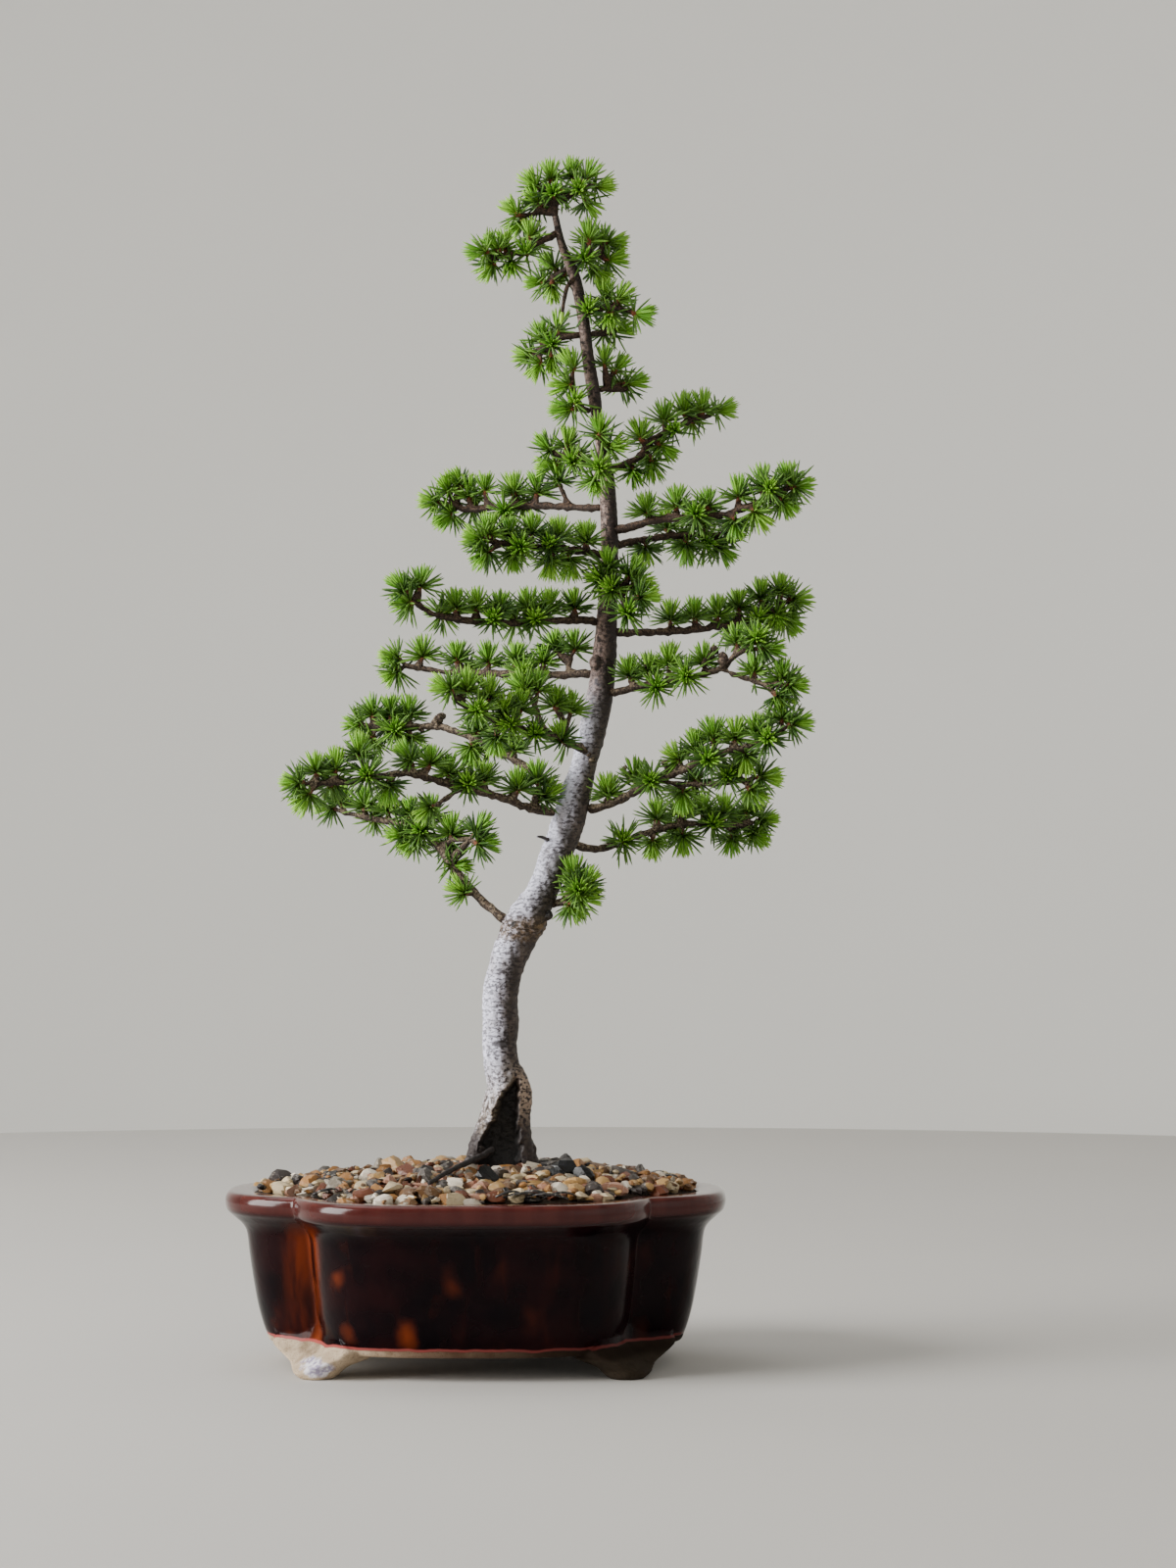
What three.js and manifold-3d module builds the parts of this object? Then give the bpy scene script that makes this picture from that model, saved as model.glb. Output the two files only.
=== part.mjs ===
// A bonsai in its pot: a young needle tree trained as an informal upright, standing in soil under a
// mound of gravel, in a glazed pot whose outline is four rounded lobes on four bracket feet.
//
// Millimetres. +Z is up, +X is to the right of the front view and -Y is towards the viewer.
// Heights are measured from the surface the feet stand on. Plan positions are measured from the
// middle of the pot while the pieces are made, and the whole is moved at the end so that the origin
// lies under the middle of the object's own box.

import * as THREE from "three";
import { mergeVertices } from "three/addons/utils/BufferGeometryUtils.js";
import Module from "manifold-3d";

const wasm = await Module();
wasm.setup();

// Driving dimensions of the pot.
const POT_LENGTH = 253;
const POT_DEPTH = 200;
const POT_HEIGHT = 87;
const SIDE_LOBE_WIDTH = 132; // the pair of lobes at the ends, measured along Y
const FRONT_LOBE_WIDTH = 184; // the pair of lobes at front and back, measured along X
const RIM_WIDTH = 14.5;
const UNDERSIDE = 12;
const FLOOR = 19;
const DRAIN_RADIUS = 8;
const DRAIN_OFFSET = 45;

// What fills it.
const SOIL_TOP = 78;
const GRAVEL_EDGE = 86;
const GRAVEL_RISE = 12.5;
const STONE_PITCH = 6.8;
const STONE_RISE = 5; // from the mound to the crown of the tallest stone
const STONE_SHARE = 0.55; // of the corners of the net that are crowns
const STONE_SHAKE = 0.5; // how far a corner may stray, as a share of the pitch
const GAP_DEPTH = 1;
const MESH_SIDE = 24;
const MESH_THICKNESS = 1.2;
const MESH_PITCH = 10;
const MESH_OPENING = 7;

// Needles and twigs.
const NEEDLE_REACH = 11.5; // from the middle of a bud to a needle's tip
const BUD_RADIUS = 1.15;
const TWIG_END_RADIUS = 1.0;

const CLEARANCE = 0.3; // kept between pieces that touch
const SEAT_ROOM = 1.1 * CLEARANCE; // round the trunk, measured at the corners of its outline
const NEEDLE_ROOT_RADIUS = 0.9; // a needle is a thin pyramid that stands on a face of its bud
const NEEDLE_RADIUS = 0.45;
const WAIST = 0.4; // the share of a needle that has the root's radius
const NEEDLE_GAP = 0.15; // kept between a needle and whatever it passes
const GOLDEN_ANGLE = Math.PI * (3 - Math.sqrt(5));

const X = new THREE.Vector3(1, 0, 0);
const Y = new THREE.Vector3(0, 1, 0);
const Z = new THREE.Vector3(0, 0, 1);

function point([x, y, z]) {
  return new THREE.Vector3(x, y, z);
}

// A repeatable stream of numbers from 0 to 1.
function randomStream(seed) {
  let state = seed;
  return () => {
    state = (state + 0x6d2b79f5) | 0;
    let mixed = Math.imul(state ^ (state >>> 15), 1 | state);
    mixed = (mixed + Math.imul(mixed ^ (mixed >>> 7), 61 | mixed)) ^ mixed;
    return ((mixed ^ (mixed >>> 14)) >>> 0) / 4294967296;
  };
}

// ---- Solids ---------------------------------------------------------------------------------

function toSolid(geometry) {
  const bare = new THREE.BufferGeometry();
  bare.setAttribute("position", geometry.getAttribute("position"));
  bare.setIndex(geometry.getIndex());
  const merged = mergeVertices(bare, 1e-4);
  return new wasm.Manifold(
    new wasm.Mesh({
      numProp: 3,
      vertProperties: new Float32Array(merged.getAttribute("position").array),
      triVerts: new Uint32Array(merged.getIndex().array),
    }),
  );
}

function toGeometry(solid) {
  const mesh = solid.getMesh();
  const geometry = new THREE.BufferGeometry();
  geometry.setAttribute("position", new THREE.BufferAttribute(mesh.vertProperties, 3));
  geometry.setIndex(new THREE.BufferAttribute(mesh.triVerts, 1));
  geometry.computeVertexNormals();
  return geometry;
}

function fuse(solids) {
  return wasm.Manifold.union(solids);
}

// The main body of a solid, without scraps that a cut left loose.
function mainBody(solid) {
  const bodies = solid.decompose();
  return bodies.reduce((best, body) => (body.volume() > best.volume() ? body : best));
}

function indexedGeometry(points, faces) {
  const geometry = new THREE.BufferGeometry();
  geometry.setFromPoints(points);
  geometry.setIndex(faces.flat());
  return geometry;
}

// A closed skin over a stack of rings with equally many points, fanned shut at both ends.
function skin(rings) {
  const count = rings[0].length;
  const points = rings.flat();
  const faces = [];
  for (let row = 0; row + 1 < rings.length; row += 1) {
    for (let i = 0; i < count; i += 1) {
      const a = row * count + i;
      const b = row * count + ((i + 1) % count);
      faces.push([a, b, b + count], [a, b + count, a + count]);
    }
  }
  const middle = (ring) =>
    ring.reduce((sum, p) => sum.add(p), new THREE.Vector3()).divideScalar(count);
  const first = points.push(middle(rings[0])) - 1;
  const last = points.push(middle(rings.at(-1))) - 1;
  const top = (rings.length - 1) * count;
  for (let i = 0; i < count; i += 1) {
    const next = (i + 1) % count;
    faces.push([first, next, i], [last, top + i, top + next]);
  }
  return indexedGeometry(points, faces);
}

// Any direction square to the given one.
function squareTo(direction) {
  const helper = Math.abs(direction.z) < 0.8 ? Z : X;
  return new THREE.Vector3().crossVectors(helper, direction).normalize();
}

function circle(centre, direction, side, radius, count, turn = 0) {
  const other = new THREE.Vector3().crossVectors(direction, side);
  return Array.from({ length: count }, (_, i) => {
    const angle = turn + (2 * Math.PI * i) / count;
    return centre
      .clone()
      .addScaledVector(side, radius * Math.cos(angle))
      .addScaledVector(other, radius * Math.sin(angle));
  });
}

// Rings along a round stem, each square to it, carried along without twist from the first side.
function stemRings(centres, radii, sides, firstSide = null) {
  let side = firstSide;
  return centres.map((centre, i) => {
    const before = centres[Math.max(i - 1, 0)];
    const after = centres[Math.min(i + 1, centres.length - 1)];
    const direction = new THREE.Vector3().subVectors(after, before).normalize();
    side = side ? side.clone().projectOnPlane(direction).normalize() : squareTo(direction);
    return circle(centre, direction, side, radii[i], sides);
  });
}

// ---- Pot ------------------------------------------------------------------------------------

// Distance from the middle to a superellipse.
function lobeRadius(angle, halfX, halfY, power) {
  const alongX = Math.abs(Math.cos(angle) / halfX) ** power;
  const alongY = Math.abs(Math.sin(angle) / halfY) ** power;
  return (alongX + alongY) ** (-1 / power);
}

const SIDE_LOBE_POWER = 2.8;
const FRONT_LOBE_POWER = 3.3;
const FRONT_LOBE_SHRINK = 0.72; // the front lobes narrow less than the pot does

function sideLobe(angle, inset) {
  return lobeRadius(angle, POT_LENGTH / 2 - inset, SIDE_LOBE_WIDTH / 2 - inset, SIDE_LOBE_POWER);
}

function frontLobe(angle, inset) {
  const halfWidth = FRONT_LOBE_WIDTH / 2 - FRONT_LOBE_SHRINK * inset;
  return lobeRadius(angle, halfWidth, POT_DEPTH / 2 - inset, FRONT_LOBE_POWER);
}

function potRadius(angle, inset) {
  return Math.max(sideLobe(angle, inset), frontLobe(angle, inset));
}

// The angle of the groove where a side lobe meets a front lobe, by halving the interval.
function grooveAngle(inset) {
  let low = 0.35;
  let high = 1.0;
  for (let i = 0; i < 30; i += 1) {
    const middle = (low + high) / 2;
    if (sideLobe(middle, inset) > frontLobe(middle, inset)) low = middle;
    else high = middle;
  }
  return low;
}

// One level of the pot: the lobed outline, brought in from the rim by inset. Every quarter has
// points at the groove and even steps along each lobe, and a coarse outline has every second one.
function potRing(inset, z, coarse = false) {
  const sideSteps = coarse ? 2 : 4;
  const frontSteps = coarse ? 3 : 6;
  const groove = grooveAngle(inset);
  const quarter = [];
  for (let i = 0; i < sideSteps; i += 1) quarter.push((groove * i) / sideSteps);
  for (let i = 0; i <= frontSteps; i += 1) {
    quarter.push(groove + ((Math.PI / 2 - groove) * i) / frontSteps);
  }
  const mirrored = quarter.slice(1, -1).reverse();
  const half = [...quarter, ...mirrored.map((angle) => Math.PI - angle)];
  const angles = [...half, ...half.map((angle) => angle + Math.PI)];
  return angles.map((angle) => {
    const radius = potRadius(angle, inset);
    return new THREE.Vector3(radius * Math.cos(angle), radius * Math.sin(angle), z);
  });
}

// Inset and height of the outside, from the foot ring up to the rounded lip.
const POT_OUTSIDE = [
  [22.5, UNDERSIDE],
  [21.3, 14.5],
  [16.7, 29],
  [13.0, 50],
  [11.2, 64],
  [8.2, 71],
  [3.4, 75.5],
  [0.4, 79],
  [0, 84],
  [2.2, POT_HEIGHT],
];

// Inset and height of the inside, from the rim down to the floor.
const POT_INSIDE = [
  [RIM_WIDTH, POT_HEIGHT],
  [17, 66],
  [20.5, 38],
  [25, 24],
  [30, FLOOR],
];

const FOOT_LEVELS = [
  { z: 0, x: 75.5, y: 59, halfX: 8.4, halfY: 8.4 },
  { z: 1.3, x: 75.5, y: 58.5, halfX: 10.4, halfY: 10 },
  { z: 4.2, x: 75.5, y: 56.5, halfX: 13.2, halfY: 12.4 },
  { z: 8.5, x: 74.5, y: 52, halfX: 17.5, halfY: 16 },
  { z: 14, x: 73.5, y: 46, halfX: 22.5, halfY: 20 },
];
const FOOT_SIDES = 10;

function potFoot(signX, signY) {
  const rings = FOOT_LEVELS.map(({ z, x, y, halfX, halfY }) =>
    Array.from({ length: FOOT_SIDES }, (_, i) => {
      const angle = (2 * Math.PI * i) / FOOT_SIDES;
      return new THREE.Vector3(
        signX * x + halfX * Math.cos(angle),
        signY * y + halfY * Math.sin(angle),
        z,
      );
    }),
  );
  return toSolid(skin(rings));
}

function drainHole(x) {
  const hole = new THREE.CylinderGeometry(DRAIN_RADIUS, DRAIN_RADIUS, 20, 16);
  hole.rotateX(Math.PI / 2);
  hole.translate(x, 0, FLOOR - 5);
  return toSolid(hole);
}

function makePot() {
  const wall = [...POT_OUTSIDE, ...POT_INSIDE].map(([inset, z]) => potRing(inset, z));
  const feet = [potFoot(1, 1), potFoot(-1, 1), potFoot(1, -1), potFoot(-1, -1)];
  return fuse([toSolid(skin(wall)), ...feet])
    .subtract(drainHole(-DRAIN_OFFSET))
    .subtract(drainHole(DRAIN_OFFSET));
}

function boxSolid(sizeX, sizeY, sizeZ, x, y, z) {
  const box = new THREE.BoxGeometry(sizeX, sizeY, sizeZ);
  box.translate(x, y, z);
  return toSolid(box);
}

// The plate that keeps soil out of a drainage hole: a grid of square openings.
function makeDrainMesh(x) {
  const middle = FLOOR + CLEARANCE + MESH_THICKNESS / 2;
  const openings = [-0.5, 0.5].flatMap((row) =>
    [-0.5, 0.5].map((column) =>
      boxSolid(MESH_OPENING, MESH_OPENING, 4, x + column * MESH_PITCH, row * MESH_PITCH, middle),
    ),
  );
  return boxSolid(MESH_SIDE, MESH_SIDE, MESH_THICKNESS, x, 0, middle).subtract(fuse(openings));
}

// ---- Trunk ----------------------------------------------------------------------------------

// Centre and radius of the trunk, from its foot in the soil to the base of the leading shoot.
const TRUNK = [
  [13, 0, 70, 15],
  [13, 0, 96, 16.5],
  [13, 0, 105, 16],
  [14, 0, 115, 13.8],
  [15.2, 0, 125, 12.2],
  [16.5, 0, 135, 11.6],
  [15.8, 0, 141, 10.3],
  [13.2, 0, 148, 9.1],
  [11.8, 0, 160, 8.6],
  [12.5, -1, 170, 9.2],
  [12, -1, 181, 8.8],
  [13.2, -2, 191, 8.8],
  [17, -2, 205, 9.2],
  [21.5, -2, 215, 9.3],
  [24.2, -2, 221, 10.2],
  [28.5, -2, 229, 9],
  [32, -2, 235, 8.2],
  [36.5, -1, 245, 7.8],
  [40, -1, 255, 8.2],
  [44, 0, 265, 8.2],
  [48.5, 0, 280, 8.4],
  [52.5, 1, 295, 6.9],
  [55.3, 1, 305, 6.5],
  [59, 1, 320, 7.1],
  [61.5, 1, 330, 6.8],
  [63.8, 2, 345, 6.5],
  [65.8, 2, 365, 5.9],
  [67.3, 2, 395, 4.6],
  [67.8, 2, 415, 4.5],
  [66.8, 1, 445, 4.1],
  [64, 1, 465, 3.2],
  [61.5, 1, 480, 2.8],
  [60.2, 1, 490, 3.4],
  [57, 1, 510, 3.2],
  [53.8, 0, 535, 3],
  [49.3, 0, 555, 2.9],
  [43.3, 0, 570, 2.1],
  [40, 0, 584, 1.8],
];
const TRUNK_SIDES = 9;
const ROOT_SIDES = 6;
const HOLLOW_BACK = -2.5; // where the notch between the root legs ends, along Y
const HOLLOW_REACH = 22; // from there forward, past the front of the trunk
const TRUNK_HOLE_RADIUS = 17.2; // in the gravel

const SURFACE_ROOT = [
  [8, -9, 106, 2.2],
  [1, -15, 103.5, 2.0],
  [-5, -19, 101.5, 1.7],
  [-15, -24, 99.8, 1.4],
  [-23, -27, 98, 1.1],
];

const TRUNK_STUBS = [
  [[28, -3, 224, 4], [34, -4, 225, 3], [38, -5, 226, 2]],
  [[62, 0, 354, 4], [57.5, -3, 355, 2.5]],
  [[36, -4, 264, 2], [33, -8, 266, 0.7]],
];

function stemThrough(rows, sides, extra = 0) {
  const centres = rows.map(point);
  const radii = rows.map((row) => row[3] + extra);
  return toSolid(skin(stemRings(centres, radii, sides)));
}

// The dark hollow between the two root legs, a tapering notch in the front of the trunk's foot.
function rootHollow() {
  const outline = new THREE.Shape();
  outline.moveTo(5, 88);
  outline.lineTo(22, 88);
  outline.lineTo(22.5, 108);
  outline.quadraticCurveTo(22.5, 128, 20.5, 142);
  outline.quadraticCurveTo(13, 122, 5, 104);
  const notch = new THREE.ExtrudeGeometry(outline, {
    depth: HOLLOW_REACH,
    bevelEnabled: false,
    curveSegments: 4,
  });
  notch.rotateX(Math.PI / 2);
  notch.translate(0, HOLLOW_BACK, 0);
  return toSolid(notch);
}

function makeTrunk() {
  const wood = stemThrough(TRUNK, TRUNK_SIDES);
  const root = stemThrough(SURFACE_ROOT, ROOT_SIDES);
  const stubs = TRUNK_STUBS.map((rows) => stemThrough(rows, ROOT_SIDES));
  return mainBody(fuse([wood.subtract(rootHollow()), root, ...stubs]));
}

// The plain hole in the soil that the foot of the trunk stands in.
function trunkHole() {
  const foot = TRUNK.slice(0, 2);
  const [x, y, z, radius] = foot[0];
  return stemThrough([[x, y, z - CLEARANCE, radius], foot[1]], TRUNK_SIDES, SEAT_ROOM);
}

// ---- Soil and gravel --------------------------------------------------------------------------

const FILL_GAP = 0.4; // inset of the fill from the inside of the pot

// The inset of the pot's inside at a height, read along its straight stretches.
function insideInset(z) {
  for (let i = 0; i + 1 < POT_INSIDE.length; i += 1) {
    const [upperInset, upper] = POT_INSIDE[i];
    const [lowerInset, lower] = POT_INSIDE[i + 1];
    if (z >= lower) return lowerInset + ((upperInset - lowerInset) * (z - lower)) / (upper - lower);
  }
  return POT_INSIDE.at(-1)[0];
}

function fillRing(z, coarse = true) {
  return potRing(insideInset(z) + FILL_GAP, z, coarse);
}

function meshRecess(x) {
  const side = MESH_SIDE + 2 * CLEARANCE;
  return boxSolid(side, side, 2 * (MESH_THICKNESS + 2 * CLEARANCE), x, 0, FLOOR);
}

function makeSoil() {
  const heights = POT_INSIDE.map(([, z]) => z).filter((z) => z < SOIL_TOP && z > FLOOR);
  const levels = [FLOOR + CLEARANCE, ...heights.reverse(), SOIL_TOP];
  const block = toSolid(skin(levels.map((z) => fillRing(z))));
  return block
    .subtract(meshRecess(-DRAIN_OFFSET))
    .subtract(meshRecess(DRAIN_OFFSET))
    .subtract(trunkHole());
}

// Height of the gravel at a share of the way from the middle to the rim.
function moundHeight(share) {
  return GRAVEL_EDGE + GRAVEL_RISE * (1 - share ** 2);
}

// Evenly spread angles of a full turn.
function turnSteps(count) {
  return Array.from({ length: count }, (_, i) => (2 * Math.PI * i) / count);
}

// The faces between two closed rings, however many corners each has. A ring's corners are listed by
// angle, and each face takes its third corner from the ring whose next corner comes sooner.
function stitch(from, to) {
  const fromAngles = [...from.angles, from.angles[0] + 2 * Math.PI];
  const toAngles = [...to.angles, to.angles[0] + 2 * Math.PI];
  const corner = (ring, i) => ring.first + (i % ring.angles.length);
  const faces = [];
  let i = 0;
  let j = 0;
  while (i < from.angles.length || j < to.angles.length) {
    const stepFrom = fromAngles[i + 1] ?? Infinity;
    const stepTo = toAngles[j + 1] ?? Infinity;
    const a = corner(from, i);
    const b = corner(to, j);
    if (stepFrom <= stepTo) {
      i += 1;
      faces.push([a, corner(from, i), b]);
    } else {
      j += 1;
      faces.push([a, corner(to, j), b]);
    }
  }
  return faces;
}

// The crowns of stones and the gaps between them along one row of the mound. The row lies at a share
// of the way from the trunk's hole to the rim.
function stoneRow(share, rows, random) {
  const mean = THREE.MathUtils.lerp(TRUNK_HOLE_RADIUS, POT_DEPTH / 2, share);
  const angles = turnSteps(Math.round((2 * Math.PI * mean) / STONE_PITCH));
  const shake = share > 0 ? STONE_SHAKE : 0;
  const corners = angles.map((angle) => {
    const turned = angle + (2 * shake * (random() - 0.5)) / angles.length;
    const spread = share + (shake * (random() - 0.5)) / rows;
    const reach = potRadius(turned, RIM_WIDTH + FILL_GAP);
    const rim = new THREE.Vector3(reach * Math.cos(turned), reach * Math.sin(turned), 0);
    const isStone = random() < STONE_SHARE;
    const height = isStone ? STONE_RISE * (1 - 0.4 * random()) : -GAP_DEPTH;
    return holeEdge(turned, 0).lerp(rim, spread).setZ(moundHeight(share) + height);
  });
  return { angles, corners };
}

// A point on the edge of the round hole that the trunk stands in.
function holeEdge(angle, z) {
  const x = TRUNK[0][0] + TRUNK_HOLE_RADIUS * Math.cos(angle);
  return new THREE.Vector3(x, TRUNK_HOLE_RADIUS * Math.sin(angle), z);
}

// The gravel is a ring of packed stones round the trunk. Its top is a net of rows from the rim in to
// the trunk, and each corner of the net is the crown of a stone or a gap.
function makeGravel() {
  const random = randomStream(11);
  const base = SOIL_TOP + CLEARANCE;
  const edge = potRing(RIM_WIDTH + FILL_GAP, GRAVEL_EDGE);
  const edgeAngles = edge.map((p) => (Math.atan2(p.y, p.x) + 2 * Math.PI) % (2 * Math.PI));
  const outlines = [
    { angles: edgeAngles, corners: fillRing(base, false) },
    { angles: edgeAngles, corners: edge },
  ];
  const rows = Math.round((POT_LENGTH / 2 - RIM_WIDTH - TRUNK_HOLE_RADIUS) / STONE_PITCH);
  for (let row = rows - 1; row >= 0; row -= 1) outlines.push(stoneRow(row / rows, rows, random));
  const { angles } = outlines.at(-1);
  outlines.push({ angles, corners: angles.map((angle) => holeEdge(angle, base)) });

  const points = [];
  const rings = outlines.map(({ angles: turns, corners }) => {
    const first = points.length;
    points.push(...corners);
    return { first, angles: turns };
  });
  const faces = rings.flatMap((ring, i) => stitch(ring, rings[(i + 1) % rings.length]));
  const rootRoom = stemThrough(SURFACE_ROOT, ROOT_SIDES, 2 * CLEARANCE);
  return mainBody(toSolid(indexedGeometry(points, faces)).subtract(rootRoom));
}

// ---- Branches -------------------------------------------------------------------------------

// Which way a tuft faces. Letters add up, such as "ul" for up and left.
const FACING = {
  u: Z,
  d: Z.clone().negate(),
  r: X,
  l: X.clone().negate(),
  f: Y.clone().negate(),
  k: Y,
};

function facing(letters) {
  return [...letters].reduce((sum, letter) => sum.add(FACING[letter]), new THREE.Vector3()).normalize();
}

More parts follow.
